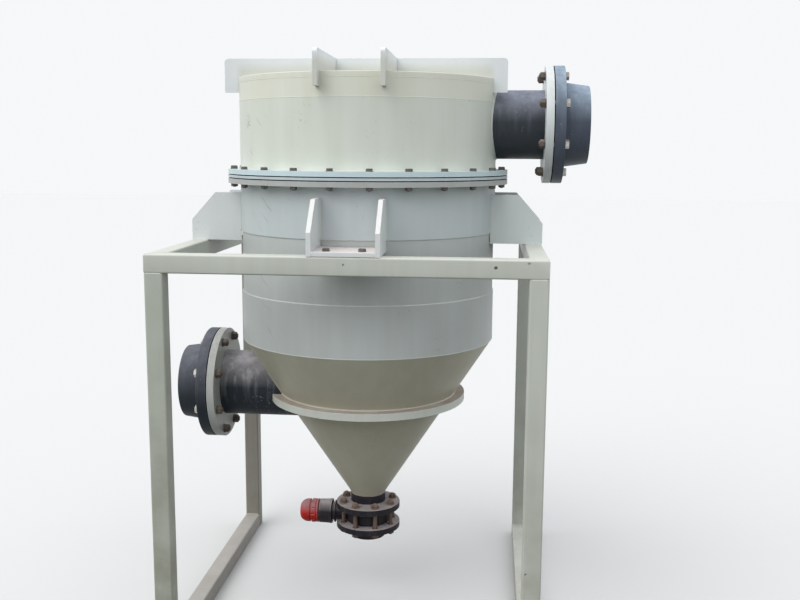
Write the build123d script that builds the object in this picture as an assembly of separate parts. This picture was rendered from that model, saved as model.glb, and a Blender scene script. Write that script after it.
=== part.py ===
from build123d import *
from math import cos, radians, tan
import os

# Pulse dust collector on its stand, in millimetres.
# +Z is up, +X is to the right of someone who faces the front, and -Y is the front.
# The origin is on the ground under the vessel's axis.

# Stand of square steel tube
stand_width = 1040.0
stand_depth = 1040.0
stand_height = 1130.0
tube_size = 50.0
tube_wall = 4.0
tube_corner = 5.0
foot_cap = 6.0

# Vessel of welded plastic sheet
vessel_radius = 381.0
vessel_wall = 10.0
seat_to_shell_top = 171.0
upper_band_height = 142.0
middle_band_height = 177.0
lower_band_height = 147.0
middle_band_set_in = 2.5
weld_gap = 0.3

# Main joint, a stack of flange, gasket, tube sheet, gasket and flange
main_flange_overhang = 36.0
main_flange_thick = 14.0
main_gasket_thick = 3.0
main_gasket_width = 22.0
tube_sheet_thick = 7.0
main_bolt_edge = 14.0
main_bolt_count = 24
main_bolt_hole_radius = 6.5

# Openings in the tube sheet for the hanging filters
filter_hole_radius = 72.0
filter_wall_gap = 69.0
filter_ring_count = 6

# Clean air plenum and its lid
plenum_lower_height = 194.0
plenum_upper_height = 51.0
lid_thick = 15.0

# Stiffening ribs crossed over the lid
rib_thick = 12.0
rib_pitch = 177.0
rib_rise = 56.0
rib_drop = 40.0
rib_hook = 30.0
rib_corner = 12.0
rib_slot_gap = 0.2

# Hopper
hopper_half_angle = 33.0
hopper_ring_overhang = 30.5
hopper_ring_thick = 22.0
hopper_ring_depth = 174.0

# Support brackets
bracket_plate = 12.0
bracket_pitch = 177.0
bracket_rise = 141.5
bracket_toe_rise = 60.5
bracket_chamfer_run = 72.0
bracket_bolt_spacing = 93.0
bracket_bolt_hole_radius = 7.0

# Air ducts, the same stub and flange at the inlet and the outlet
duct_radius = 100.0
duct_wall = 6.0
duct_collar_overhang = 16.0
duct_collar_thick = 12.0
duct_ring_thick = 22.0
duct_flange_overhang = 70.0
duct_flange_thick = 30.0
duct_gasket_thick = 3.0
duct_bolt_edge = 22.5
duct_bolt_count = 8
duct_bolt_hole_radius = 11.0
duct_hub_root_wall = 17.8
duct_hub_end_wall = 11.8
duct_socket_gap = 0.2
duct_socket_stop = 6.0
loose_ring_gap = 0.5

duct_hub_length = 73.0

inlet_drop = 163.0
inlet_face = 468.0
outlet_rise = 132.0
outlet_face = 541.0

# Discharge valve between two flanges
valve_bore_radius = 40.0
valve_flange_overhang = 60.0
valve_flange_thick = 18.0
valve_hub_wall = 14.0
valve_hub_height = 30.0
valve_bolt_edge = 20.0
valve_bolt_count = 8
valve_bolt_hole_radius = 9.0
valve_body_height = 46.0
valve_body_bolt_gap = 2.0
valve_neck_gap = 1.0
valve_bonnet_radius = 39.0
valve_bonnet_gap = 3.0
valve_bonnet_length = 53.0
discharge_pipe_wall = 5.0
discharge_socket_gap = 0.1
discharge_socket_stop = 5.0

# Valve disc, stem and cap
disc_gap = 0.6
disc_edge_thick = 6.0
disc_centre_thick = 16.0
disc_boss_radius = 11.0
stem_radius = 7.0
stem_gap = 0.05
stem_blind_depth = 22.0
stem_in_cap = 40.0
cap_radius = 37.0
cap_length = 59.0
cap_gap = 1.0
cap_flute_count = 12
cap_flute_radius = 5.0
cap_edge = 6.0

# Heights that follow from the sizes above
seat_z = stand_height
shell_top_z = seat_z + seat_to_shell_top
upper_seam_z = shell_top_z - upper_band_height
lower_seam_z = upper_seam_z - middle_band_height
cone_top_z = lower_seam_z - lower_band_height
lower_gasket_z = shell_top_z + main_flange_thick
tube_sheet_z = lower_gasket_z + main_gasket_thick
upper_gasket_z = tube_sheet_z + tube_sheet_thick
plenum_flange_z = upper_gasket_z + main_gasket_thick
plenum_z = plenum_flange_z + main_flange_thick
plenum_seam_z = plenum_z + plenum_lower_height
lid_z = plenum_seam_z + plenum_upper_height
lid_top_z = lid_z + lid_thick

hopper_slope = tan(radians(hopper_half_angle))
cone_wall_across = vessel_wall / cos(radians(hopper_half_angle))
cone_end_radius = valve_bore_radius + cone_wall_across
cone_end_z = cone_top_z - (vessel_radius - cone_end_radius) / hopper_slope
hopper_ring_top_z = cone_top_z - hopper_ring_depth
hopper_ring_bottom_z = hopper_ring_top_z - hopper_ring_thick

inlet_z = cone_top_z - inlet_drop
outlet_z = plenum_z + outlet_rise

valve_top_z = cone_end_z - valve_hub_height - valve_flange_thick
valve_mid_z = valve_top_z - valve_body_height / 2
valve_bottom_z = valve_top_z - valve_body_height

# Angle of the first main bolt, half a step beside the front line
main_bolt_start = 180.0 / main_bolt_count - 90.0

# Radii that follow
shell_bore = vessel_radius - vessel_wall
middle_band_radius = vessel_radius - middle_band_set_in
main_flange_radius = vessel_radius + main_flange_overhang
main_bolt_circle_radius = main_flange_radius - main_bolt_edge
filter_circle_radius = shell_bore - filter_wall_gap - filter_hole_radius
rib_reach = vessel_radius + rib_hook
hopper_ring_radius = vessel_radius - hopper_ring_depth * hopper_slope + hopper_ring_overhang

duct_bore = duct_radius - duct_wall
duct_collar_radius = duct_radius + duct_collar_overhang
duct_flange_radius = duct_radius + duct_flange_overhang
duct_bolt_circle_radius = duct_flange_radius - duct_bolt_edge
duct_socket_radius = duct_radius + duct_socket_gap
duct_hub_root_radius = duct_socket_radius + duct_hub_root_wall
duct_hub_end_radius = duct_socket_radius + duct_hub_end_wall

valve_flange_radius = valve_bore_radius + valve_flange_overhang
valve_hub_radius = valve_bore_radius + valve_hub_wall
valve_bolt_circle_radius = valve_flange_radius - valve_bolt_edge
valve_body_radius = valve_bolt_circle_radius - valve_bolt_hole_radius - valve_body_bolt_gap
valve_neck_radius = valve_body_height / 2 - valve_neck_gap
bonnet_start = valve_flange_radius + valve_bonnet_gap
bonnet_end = bonnet_start + valve_bonnet_length
discharge_socket_radius = valve_bore_radius + discharge_pipe_wall + discharge_socket_gap

half_width = stand_width / 2
half_depth = stand_depth / 2

pieces = {}


# Shared shapes


def upright(radius, bottom, top):
    """A solid round bar about the vessel's axis."""
    return Pos(0, 0, bottom) * extrude(Circle(radius), amount=top - bottom)


def ring(bore, radius, bottom, top):
    """A flat ring or a straight shell about the vessel's axis."""
    return Pos(0, 0, bottom) * extrude(Circle(radius) - Circle(bore), amount=top - bottom)


def crosswise(radius, start, end, height):
    """A solid round bar along X at one height."""
    return Pos(start, 0, height) * extrude(Plane.YZ * Circle(radius), amount=end - start)


def turned(outline):
    """A solid turned about X from (distance along X, radius) points."""
    return revolve(Plane.XY * make_face(Polyline(*outline, close=True)), axis=Axis.X)


def turned_upright(outline):
    """A solid turned about Z from (radius, height) points."""
    return revolve(Plane.XZ * make_face(Polyline(*outline, close=True)), axis=Axis.Z)


def upright_holes(count, circle_radius, hole_radius, bottom, top, first_angle=0.0):
    """Round holes on a circle about the vessel's axis."""
    spots = PolarLocations(circle_radius, count, start_angle=first_angle)
    outline = Sketch() + [spot * Circle(hole_radius) for spot in spots]
    return Pos(0, 0, bottom) * extrude(outline, amount=top - bottom)


def cone_outside(height):
    """The hopper's outer radius at a height."""
    return vessel_radius - (cone_top_z - height) * hopper_slope


def cone_inside(height):
    """The hopper's inner radius at a height."""
    return cone_outside(height) - cone_wall_across


# Stand


def square_tube(length):
    """A square tube along X, centred on the origin."""
    outside = RectangleRounded(tube_size, tube_size, tube_corner)
    inside_size = tube_size - 2 * tube_wall
    inside = RectangleRounded(inside_size, inside_size, tube_corner - tube_wall)
    return Pos(-length / 2, 0, 0) * extrude(Plane.YZ * (outside - inside), amount=length)


def mitred_rail(length):
    """A top rail along X whose ends are cut at 45 degrees, long side towards -Y."""
    half = length / 2
    edge = tube_size / 2
    outline = Polyline(
        (-half, -edge), (half, -edge), (half - tube_size, edge), (-half + tube_size, edge), close=True
    )
    keep = Pos(0, 0, -edge) * extrude(make_face(outline), amount=tube_size)
    return square_tube(length) & keep


def leg():
    """A leg that stands on the ground, closed by a cap at its foot."""
    length = stand_height - tube_size
    post = Pos(0, 0, length / 2) * Rot(0, -90, 0) * square_tube(length)
    inside_size = tube_size - 2 * tube_wall
    cap = extrude(RectangleRounded(inside_size, inside_size, tube_corner - tube_wall), amount=foot_cap)
    return post + cap


def build_stand():
    """Four legs, a mitred ring of rails on top and two rails on the ground."""
    inset = tube_size / 2
    corners = {
        "leg_front_left": (-1, -1),
        "leg_front_right": (1, -1),
        "leg_back_left": (-1, 1),
        "leg_back_right": (1, 1),
    }
    for name, (side, end) in corners.items():
        pieces[name] = Pos(side * (half_width - inset), end * (half_depth - inset), 0) * leg()

    top = stand_height - inset
    across = mitred_rail(stand_width)
    along = mitred_rail(stand_depth)
    pieces["top_rail_front"] = Pos(0, -(half_depth - inset), top) * across
    pieces["top_rail_back"] = Pos(0, half_depth - inset, top) * Rot(0, 0, 180) * across
    pieces["top_rail_left"] = Pos(-(half_width - inset), 0, top) * Rot(0, 0, -90) * along
    pieces["top_rail_right"] = Pos(half_width - inset, 0, top) * Rot(0, 0, 90) * along

    foot_rail = Rot(0, 0, 90) * square_tube(stand_depth - 2 * tube_size)
    pieces["foot_rail_left"] = Pos(-(half_width - inset), 0, inset) * foot_rail
    pieces["foot_rail_right"] = Pos(half_width - inset, 0, inset) * foot_rail


def bracket(reach):
    """A welded bracket on the front side: two gussets and the plate that rests on the rail."""
    toe = -reach
    chamfer_top = toe + bracket_chamfer_run
    top = seat_z + bracket_rise
    side = Polyline(
        (0, seat_z),
        (toe, seat_z),
        (toe, seat_z + bracket_toe_rise),
        (chamfer_top, top),
        (0, top),
        close=True,
    )
    gusset = extrude(Plane.YZ * make_face(side), amount=bracket_plate / 2, both=True)
    left = Pos(-bracket_pitch / 2, 0, 0) * gusset
    right = Pos(bracket_pitch / 2, 0, 0) * gusset
    plate_width = bracket_pitch - bracket_plate
    plate = Pos(0, toe / 2, seat_z) * extrude(Rectangle(plate_width, reach), amount=bracket_plate)
    whole = left + right + plate
    shoulder_z = upper_seam_z - weld_gap
    whole -= upright(middle_band_radius + weld_gap, seat_z - 1, shoulder_z)
    whole -= upright(vessel_radius + weld_gap, shoulder_z, top + 1)
    for side_sign in (-1, 1):
        spot = Pos(side_sign * bracket_bolt_spacing / 2, toe + tube_size / 2, seat_z)
        whole -= spot * extrude(Circle(bracket_bolt_hole_radius), amount=bracket_plate)
    return whole


def build_brackets():
    """The same bracket on each side of the vessel, as long as the stand is deep or wide."""
    sides = (("front", half_depth), ("right", half_width), ("back", half_depth), ("left", half_width))
    for turn, (name, reach) in enumerate(sides):
        pieces["bracket_" + name] = Rot(0, 0, 90 * turn) * bracket(reach)


# Vessel


def build_body():
    """Three bands of rolled sheet, one above the other, the middle one set in a little."""
    middle_bore = middle_band_radius - vessel_wall
    pieces["body_band_lower"] = ring(shell_bore, vessel_radius, cone_top_z, lower_seam_z)
    pieces["body_band_middle"] = ring(middle_bore, middle_band_radius, lower_seam_z, upper_seam_z)
    pieces["body_band_upper"] = ring(shell_bore, vessel_radius, upper_seam_z, shell_top_z)


def bolted_plate(plate, bottom, top):
    """A plate of the main joint with its ring of bolt holes."""
    return plate - upright_holes(
        main_bolt_count, main_bolt_circle_radius, main_bolt_hole_radius, bottom, top, main_bolt_start
    )


def build_main_joint():
    """The flanges of the two halves with the tube sheet clamped between them."""
    gasket_radius = shell_bore + main_gasket_width
    lower_flange = ring(shell_bore, main_flange_radius, shell_top_z, lower_gasket_z)
    pieces["body_flange"] = bolted_plate(lower_flange, shell_top_z, lower_gasket_z)
    pieces["lower_gasket"] = ring(shell_bore, gasket_radius, lower_gasket_z, tube_sheet_z)

    sheet = upright(main_flange_radius, tube_sheet_z, upper_gasket_z)
    sheet -= upright(filter_hole_radius, tube_sheet_z, upper_gasket_z)
    sheet -= upright_holes(
        filter_ring_count, filter_circle_radius, filter_hole_radius, tube_sheet_z, upper_gasket_z
    )
    pieces["tube_sheet"] = bolted_plate(sheet, tube_sheet_z, upper_gasket_z)

    pieces["upper_gasket"] = ring(shell_bore, gasket_radius, upper_gasket_z, plenum_flange_z)
    upper_flange = ring(shell_bore, main_flange_radius, plenum_flange_z, plenum_z)
    pieces["plenum_flange"] = bolted_plate(upper_flange, plenum_flange_z, plenum_z)


def build_plenum():
    """The drum above the joint, its lid, and the hole for the outlet duct."""
    outlet_hole = crosswise(duct_radius + weld_gap, 0, vessel_radius + 1, outlet_z)
    lower = ring(shell_bore, vessel_radius, plenum_z, plenum_seam_z)
    upper = ring(shell_bore, vessel_radius, plenum_seam_z, lid_z)
    pieces["plenum_band_lower"] = lower - outlet_hole
    pieces["plenum_band_upper"] = upper - outlet_hole
    pieces["lid_plate"] = upright(vessel_radius, lid_z, lid_top_z)


def lid_rib(slot_bottom, slot_top):
    """A rib along X over the lid, hooked over the drum at both ends, with two half lap slots."""
    top = lid_top_z + rib_rise
    bottom = lid_top_z - rib_drop
    height = top - bottom
    blank = Pos(0, 0, bottom + height / 2) * (Plane.XZ * Rectangle(2 * rib_reach, height))
    upper_corners = blank.vertices().group_by(Axis.Z)[-1]
    rib = extrude(fillet(upper_corners, rib_corner), amount=rib_thick / 2, both=True)
    slot = Box(rib_thick + 2 * rib_slot_gap, 2 * rib_thick, slot_top - slot_bottom)
    for side in (-1, 1):
        rib -= Pos(side * rib_pitch / 2, 0, (slot_bottom + slot_top) / 2) * slot
    return rib


def build_ribs():
    """Two ribs each way, lapped where they cross."""
    drum = upright(vessel_radius + weld_gap, lid_top_z - rib_drop - 1, lid_top_z)
    lap_z = lid_top_z + rib_rise / 2
    names = {
        "lid_rib_front": (0, -1, lap_z, lid_top_z + rib_rise),
        "lid_rib_back": (0, 1, lap_z, lid_top_z + rib_rise),
        "lid_rib_left": (90, 1, lid_top_z, lap_z),
        "lid_rib_right": (90, -1, lid_top_z, lap_z),
    }
    for name, (turn, side, slot_bottom, slot_top) in names.items():
        rib = Rot(0, 0, turn) * Pos(0, side * rib_pitch / 2, 0) * lid_rib(slot_bottom, slot_top)
        pieces[name] = rib - drum


def cone_shell(bottom, top):
    """A slice of the hopper's cone."""
    return turned_upright(
        [
            (cone_inside(bottom), bottom),
            (cone_outside(bottom), bottom),
            (cone_outside(top), top),
            (cone_inside(top), top),
        ]
    )


def build_hopper():
    """The cone above and below its stiffening ring, open to the inlet duct on the left."""
    inlet_hole = crosswise(duct_radius + weld_gap, -main_flange_radius, 0, inlet_z)
    upper = cone_shell(hopper_ring_top_z, cone_top_z)
    lower = cone_shell(cone_end_z, hopper_ring_bottom_z)
    stiffener = turned_upright(
        [
            (cone_inside(hopper_ring_bottom_z), hopper_ring_bottom_z),
            (hopper_ring_radius, hopper_ring_bottom_z),
            (hopper_ring_radius, hopper_ring_top_z),
            (cone_inside(hopper_ring_top_z), hopper_ring_top_z),
        ]
    )
    pieces["upper_hopper"] = upper - inlet_hole
    pieces["hopper_ring"] = stiffener - inlet_hole
    pieces["lower_hopper"] = lower - inlet_hole


# Air ducts


def duct_bolt_holes(start, end):
    """The bolt holes of a duct flange, either side of the vertical and the horizontal."""
    step = 360.0 / duct_bolt_count
    spots = PolarLocations(duct_bolt_circle_radius, duct_bolt_count, start_angle=step / 2)
    outline = Sketch() + [spot * Circle(duct_bolt_hole_radius) for spot in spots]
    return Pos(start, 0, 0) * extrude(Plane.YZ * outline, amount=end - start)


def duct_stub(face):
    """The stub pipe along X from the vessel's axis, with a collar at its end."""
    collar_back = face - duct_collar_thick
    return turned(
        [
            (0, duct_bore),
            (face, duct_bore),
            (face, duct_collar_radius),
            (collar_back, duct_collar_radius),
            (collar_back, duct_radius),
            (0, duct_radius),
        ]
    )


def duct_backing_ring(face):
    """The loose ring behind the collar, recessed so that its face is level with it."""
    back = face - duct_ring_thick
    seat = face - duct_collar_thick
    bore = duct_radius + loose_ring_gap
    recess = duct_collar_radius + loose_ring_gap
    outline = [
        (back, bore),
        (seat, bore),
        (seat, recess),
        (face, recess),
        (face, duct_flange_radius),
        (back, duct_flange_radius),
    ]
    return turned(outline) - duct_bolt_holes(back, face)


def duct_gasket(face):
    """The flat seal between the collar and the flange."""
    end = face + duct_gasket_thick
    return turned(
        [(face, duct_bore), (end, duct_bore), (end, duct_collar_radius), (face, duct_collar_radius)]
    )


def duct_flange(face):
    """The fixed flange with a tapered hub and a socket for the next pipe."""
    start = face + duct_gasket_thick
    root = start + duct_flange_thick
    end = root + duct_hub_length
    stop = start + duct_socket_stop
    outline = [
        (start, duct_bore),
        (stop, duct_bore),
        (stop, duct_socket_radius),
        (end, duct_socket_radius),
        (end, duct_hub_end_radius),
        (root, duct_hub_root_radius),
        (root, duct_flange_radius),
        (start, duct_flange_radius),
    ]
    return turned(outline) - duct_bolt_holes(start, root)


def build_ducts():
    """The inlet on the left of the hopper and the outlet on the right of the plenum."""
    inside_of_hopper = turned_upright(
        [
            (0, cone_end_z),
            (cone_inside(cone_end_z), cone_end_z),
            (cone_inside(cone_top_z), cone_top_z),
            (0, cone_top_z),
        ]
    )
    inlet = Pos(0, 0, inlet_z) * Rot(0, 0, 180)
    outlet = Pos(0, 0, outlet_z)
    pieces["inlet_pipe"] = inlet * duct_stub(inlet_face) - inside_of_hopper
    pieces["outlet_pipe"] = outlet * duct_stub(outlet_face) - upright(shell_bore, plenum_z, lid_z)
    for name, place, face in (("inlet", inlet, inlet_face), ("outlet", outlet, outlet_face)):
        pieces[name + "_backing_ring"] = place * duct_backing_ring(face)
        pieces[name + "_gasket"] = place * duct_gasket(face)
        pieces[name + "_flange"] = place * duct_flange(face)


# Discharge valve


def valve_bolt_holes(bottom, top):
    """The bolt holes of a valve flange, either side of the two centre lines."""
    half_step = 180.0 / valve_bolt_count
    return upright_holes(
        valve_bolt_count, valve_bolt_circle_radius, valve_bolt_hole_radius, bottom, top, half_step
    )


def build_valve_flanges():
    """The flange under the hopper and the socket flange under the valve."""
    upper_face = valve_top_z + valve_flange_thick
    upper = turned_upright(
        [
            (valve_bore_radius, valve_top_z),
            (valve_flange_radius, valve_top_z),
            (valve_flange_radius, upper_face),
            (valve_hub_radius, upper_face),
            (valve_hub_radius, cone_end_z),
            (valve_bore_radius, cone_end_z),
        ]
    )
    lower_face = valve_bottom_z - valve_flange_thick
    lower_end = lower_face - valve_hub_height
    stop = valve_bottom_z - discharge_socket_stop
    lower = turned_upright(
        [
            (valve_bore_radius, valve_bottom_z),
            (valve_flange_radius, valve_bottom_z),
            (valve_flange_radius, lower_face),
            (valve_hub_radius, lower_face),
            (valve_hub_radius, lower_end),
            (discharge_socket_radius, lower_end),
            (discharge_socket_radius, stop),
            (valve_bore_radius, stop),
        ]
    )
    pieces["discharge_upper_flange"] = upper - valve_bolt_holes(valve_top_z, upper_face)
    pieces["discharge_lower_flange"] = lower - valve_bolt_holes(lower_face, valve_bottom_z)


def build_valve_body():
    """The wafer body, its neck and the round bonnet that carries the stem."""
    wafer = upright(valve_body_radius, valve_bottom_z, valve_top_z)
    neck = crosswise(valve_neck_radius, -bonnet_start, 0, valve_mid_z)
    bonnet = crosswise(valve_bonnet_radius, -bonnet_end, -bonnet_start, valve_mid_z)
    body = wafer + neck + bonnet
    body -= upright(valve_bore_radius, valve_bottom_z, valve_top_z)
    stem_hole_end = valve_bore_radius + stem_blind_depth
    body -= crosswise(stem_radius + stem_gap, -bonnet_end, stem_hole_end, valve_mid_z)
    pieces["valve_body"] = body


def build_valve_disc():
    """The closed disc with its boss and the stem that runs out through the bonnet."""
    disc_radius = valve_bore_radius - disc_gap
    edge = disc_edge_thick / 2
    middle = disc_centre_thick / 2
    lens = turned_upright([(0, -middle), (disc_radius, -edge), (disc_radius, edge), (0, middle)])
    boss_half = disc_radius - disc_edge_thick
    boss = crosswise(disc_boss_radius, -boss_half, boss_half, 0)
    stem_start = -(bonnet_end + cap_gap + stem_in_cap)
    stem_end = valve_bore_radius + stem_blind_depth - cap_gap
    stem = crosswise(stem_radius, stem_start, stem_end, 0)
    pieces["valve_disc"] = Pos(0, 0, valve_mid_z) * (lens + boss + stem)


def build_valve_cap():
    """The fluted cap fixed on the stem's end, which turns the disc."""
    near = bonnet_end + cap_gap
    blank = fillet(
        extrude(Plane.YZ * Circle(cap_radius), amount=-cap_length).edges().group_by(Axis.X)[0], cap_edge
    )
    flutes = Sketch() + [
        spot * Circle(cap_flute_radius)
        for spot in PolarLocations(cap_radius + cap_flute_radius / 2, cap_flute_count)
    ]
    blank -= extrude(Plane.YZ * flutes, amount=-cap_length)
    cap = Pos(-near, 0, valve_mid_z) * blank
    cap -= crosswise(stem_radius, -(near + stem_in_cap), -near, valve_mid_z)
    pieces["valve_cap"] = cap


build_stand()
build_brackets()
build_body()
build_main_joint()
build_plenum()
build_ribs()
build_hopper()
build_ducts()
build_valve_flanges()
build_valve_body()
build_valve_disc()
build_valve_cap()

os.makedirs("parts", exist_ok=True)
for name, piece in pieces.items():
    export_step(piece, "parts/" + name + ".step")

print("pieces", len(pieces), "height of the lid's top", lid_top_z)
print("height of the valve's axis", valve_mid_z, "radius of the hopper ring", hopper_ring_radius)
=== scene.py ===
# %% [markdown]
# # A pulse dust collector, dressed for its picture
# The real object is a round vessel of welded natural plastic sheet. It hangs by four brackets in
# an open stand of painted square tube. Dusty air enters through the dark duct on the left, drops
# its dust in the cone, and leaves through the duct on the right of the drum above the bolted joint.
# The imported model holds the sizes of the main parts. This script reads them from there and builds
# the pieces that the eye sees, one short step at a time.

# %% Load the frame
from math import atan2, cos, degrees, pi, radians, sin, sqrt

import bpy
from mathutils import Matrix, Vector


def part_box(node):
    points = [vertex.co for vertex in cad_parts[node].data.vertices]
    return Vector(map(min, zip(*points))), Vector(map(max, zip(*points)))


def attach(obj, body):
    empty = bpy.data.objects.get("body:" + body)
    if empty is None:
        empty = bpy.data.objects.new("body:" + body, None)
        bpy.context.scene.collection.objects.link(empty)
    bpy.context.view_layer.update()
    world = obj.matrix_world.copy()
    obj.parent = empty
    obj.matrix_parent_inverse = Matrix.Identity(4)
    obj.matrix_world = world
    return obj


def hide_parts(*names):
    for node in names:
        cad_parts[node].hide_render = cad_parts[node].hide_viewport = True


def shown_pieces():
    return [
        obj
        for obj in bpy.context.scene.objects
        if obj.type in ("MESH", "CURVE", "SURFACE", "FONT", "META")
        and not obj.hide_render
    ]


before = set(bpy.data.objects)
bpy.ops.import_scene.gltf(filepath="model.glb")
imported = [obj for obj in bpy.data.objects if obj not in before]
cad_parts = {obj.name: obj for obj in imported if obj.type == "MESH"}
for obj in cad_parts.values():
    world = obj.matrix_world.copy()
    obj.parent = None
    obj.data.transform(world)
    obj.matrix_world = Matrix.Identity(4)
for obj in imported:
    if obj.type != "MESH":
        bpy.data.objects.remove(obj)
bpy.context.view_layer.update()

print("frame loaded,", len(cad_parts), "nodes")

# %% [markdown]
# ## The camera
# A camera that matches a photograph has three things right: where it stands, where it looks, and
# its lens. This one stands at eye height in front of the stand, a little to the right, and looks
# slightly down. The turns are built as one matrix, yaw first, then tilt, then a trace of roll.

# %% Camera
MM = 0.001
camera_place = Vector((0.3717, -2.9356, 1.3983))
camera_yaw = 0.09307
camera_tilt = 0.15314
camera_roll = 0.00597

bpy.ops.object.camera_add(location=camera_place)
camera = bpy.context.object
camera.name = "camera"
turns = (
    Matrix.Rotation(camera_yaw, 4, "Z")
    @ Matrix.Rotation(pi / 2 - camera_tilt, 4, "X")
    @ Matrix.Rotation(camera_roll, 4, "Z")
)
camera.matrix_world = Matrix.Translation(camera_place) @ turns
camera.data.sensor_width = 36.0
camera.data.lens = 43.716
bpy.context.scene.camera = camera
print("camera at", [round(x, 3) for x in camera_place], "lens", camera.data.lens, "mm")

# %% [markdown]
# ## Small helpers
# Most mistakes with operators come from a wrong selection, because an operator works on all that
# is selected. So one helper always clears the selection, and another picks faces, edges or
# vertices by a test of their place. Every piece ends with its place in its mesh and its object at
# the origin, which is what `settle` does.


# %% Selection helpers
def clear_selection():
    """Leaves edit mode and deselects every object."""
    if bpy.context.object and bpy.context.object.mode == "EDIT":
        bpy.ops.object.mode_set(mode="OBJECT")
    bpy.ops.object.select_all(action="DESELECT")


def work_on(piece):
    """Makes one piece the only selected and active object."""
    clear_selection()
    piece.select_set(True)
    bpy.context.view_layer.objects.active = piece
    return piece


def settle(name):
    """Names the new primitive and moves its place, turn and scale into its mesh."""
    piece = bpy.context.object
    piece.name = name
    piece.data.name = name
    work_on(piece)
    bpy.ops.object.transform_apply(location=True, rotation=True, scale=True)
    return piece


def pick(piece, kind, test):
    """Enters edit mode with only those faces, edges or vertices selected that pass the test."""
    work_on(piece)
    bpy.ops.object.mode_set(mode="EDIT")
    bpy.ops.mesh.select_mode(type=kind)
    bpy.ops.mesh.select_all(action="DESELECT")
    bpy.ops.object.mode_set(mode="OBJECT")
    mesh = piece.data
    if kind == "FACE":
        for face in mesh.polygons:
            face.select = test(face.center, face.normal)
    elif kind == "EDGE":
        for edge in mesh.edges:
            a, b = (mesh.vertices[i].co for i in edge.vertices)
            edge.select = test(a, b)
    else:
        for vertex in mesh.vertices:
            vertex.select = test(vertex.co)
    bpy.ops.object.mode_set(mode="EDIT")


def leave_edit():
    """Back to object mode."""
    bpy.ops.object.mode_set(mode="OBJECT")


def low(node):
    """The lowest corner of a node of the frame."""
    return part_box(node)[0]


def high(node):
    """The highest corner of a node of the frame."""
    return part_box(node)[1]


# %% [markdown]
# ## Finishing helpers
# A real edge is never razor sharp, and a small bevel is what catches the light and makes a plate
# look solid. `soften` adds that bevel to every corner above an angle, smooths the rest, and then
# weighs the normals by face size, so that a wide face beside a small bevel still looks flat.
# `cut` takes one shape out of another, as a hole saw does, and `join` makes one piece of several.


# %% Finishing helpers
def apply_modifier(piece, kind, **settings):
    """Adds a modifier to a piece and applies it at once."""
    work_on(piece)
    modifier = piece.modifiers.new(kind.lower(), kind)
    for setting, value in settings.items():
        setattr(modifier, setting, value)
    bpy.ops.object.modifier_apply(modifier=modifier.name)
    return piece


sharp_angle, smooth_angle = radians(30), radians(38)


def soften(piece, width, segments=2):
    """Bevels the sharp edges, smooths the curved faces and keeps the flat ones flat."""
    settings = {"limit_method": "ANGLE", "angle_limit": sharp_angle, "use_clamp_overlap": True}
    apply_modifier(piece, "BEVEL", width=width, segments=segments, **settings)
    bpy.ops.object.shade_smooth_by_angle(angle=smooth_angle)
    return apply_modifier(piece, "WEIGHTED_NORMAL", keep_sharp=True, weight=50)


def cut(piece, cutter):
    """Takes the cutter's volume out of the piece and removes the cutter."""
    apply_modifier(piece, "BOOLEAN", operation="DIFFERENCE", object=cutter, solver="EXACT")
    bpy.data.objects.remove(cutter)
    return piece


def join(name, parts):
    """One object from several."""
    clear_selection()
    for part in parts:
        part.select_set(True)
    bpy.context.view_layer.objects.active = parts[0]
    if len(parts) > 1:
        bpy.ops.object.join()
    piece = bpy.context.object
    piece.name = name
    piece.data.name = name
    return piece


def copy_of(piece, matrix):
    """A copy with its own mesh, moved in its mesh."""
    twin = piece.copy()
    twin.data = piece.data.copy()
    bpy.context.scene.collection.objects.link(twin)
    twin.data.transform(matrix)
    return twin


# %% [markdown]
# ## Turned pieces
# Flanges, pipes, cones and bands are all round, so one helper makes them as a lathe would. `trace`
# extrudes a single vertex along the outline. `turn` spins the outline once round its axis, merges
# the seam and recalculates the normals, because a spin can leave them pointing inwards. The
# outline is given as (radius, distance along the axis).

# %% Turning
fine_steps = 144
pipe_steps = 96
small_steps = 64
same_place = 0.001 * MM


def trace(name, points):
    """A wire through the points, grown from one vertex and left in edit mode."""
    clear_selection()
    bpy.ops.mesh.primitive_plane_add(size=MM, location=points[0])
    piece = settle(name)
    bpy.ops.object.mode_set(mode="EDIT")
    bpy.ops.mesh.select_mode(type="VERT")
    bpy.ops.mesh.select_all(action="SELECT")
    bpy.ops.mesh.merge(type="CENTER")
    for here, there in zip(points, points[1:]):
        bpy.ops.mesh.extrude_region_move(TRANSFORM_OT_translate={"value": there - here})
    return piece


def turn(name, outline, steps=fine_steps, axis="Z", height=0.0, closed=True):
    """Spins an outline about the vertical axis, or about a level axis along X at a height."""
    if axis == "Z":
        points = [Vector((radius, 0, along)) for radius, along in outline]
        centre, direction = (0, 0, 0), (0, 0, 1)
    else:
        points = [Vector((along, 0, height + radius)) for radius, along in outline]
        centre, direction = (0, 0, height), (1, 0, 0)
    piece = trace(name, points)
    if closed:
        first, last = points[0], points[-1]
        pick(piece, "VERT", lambda co: min((co - first).length, (co - last).length) < same_place)
        bpy.ops.mesh.edge_face_add()
    bpy.ops.mesh.select_all(action="SELECT")
    bpy.ops.mesh.spin(steps=steps, angle=2 * pi, center=centre, axis=direction)
    bpy.ops.mesh.select_all(action="SELECT")
    bpy.ops.mesh.remove_doubles(threshold=0.01 * MM)
    bpy.ops.mesh.normals_make_consistent(inside=False)
    leave_edit()
    return piece


# %% [markdown]
# ## Bars and blocks
# The other pieces start as a cylinder or a cube. Both helpers are given the two ends or corners,
# as a drawing gives them, and work out the middle, the length and the turn that the operator asks
# for. The same bar also serves as the drill and the hole saw of later steps.


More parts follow.
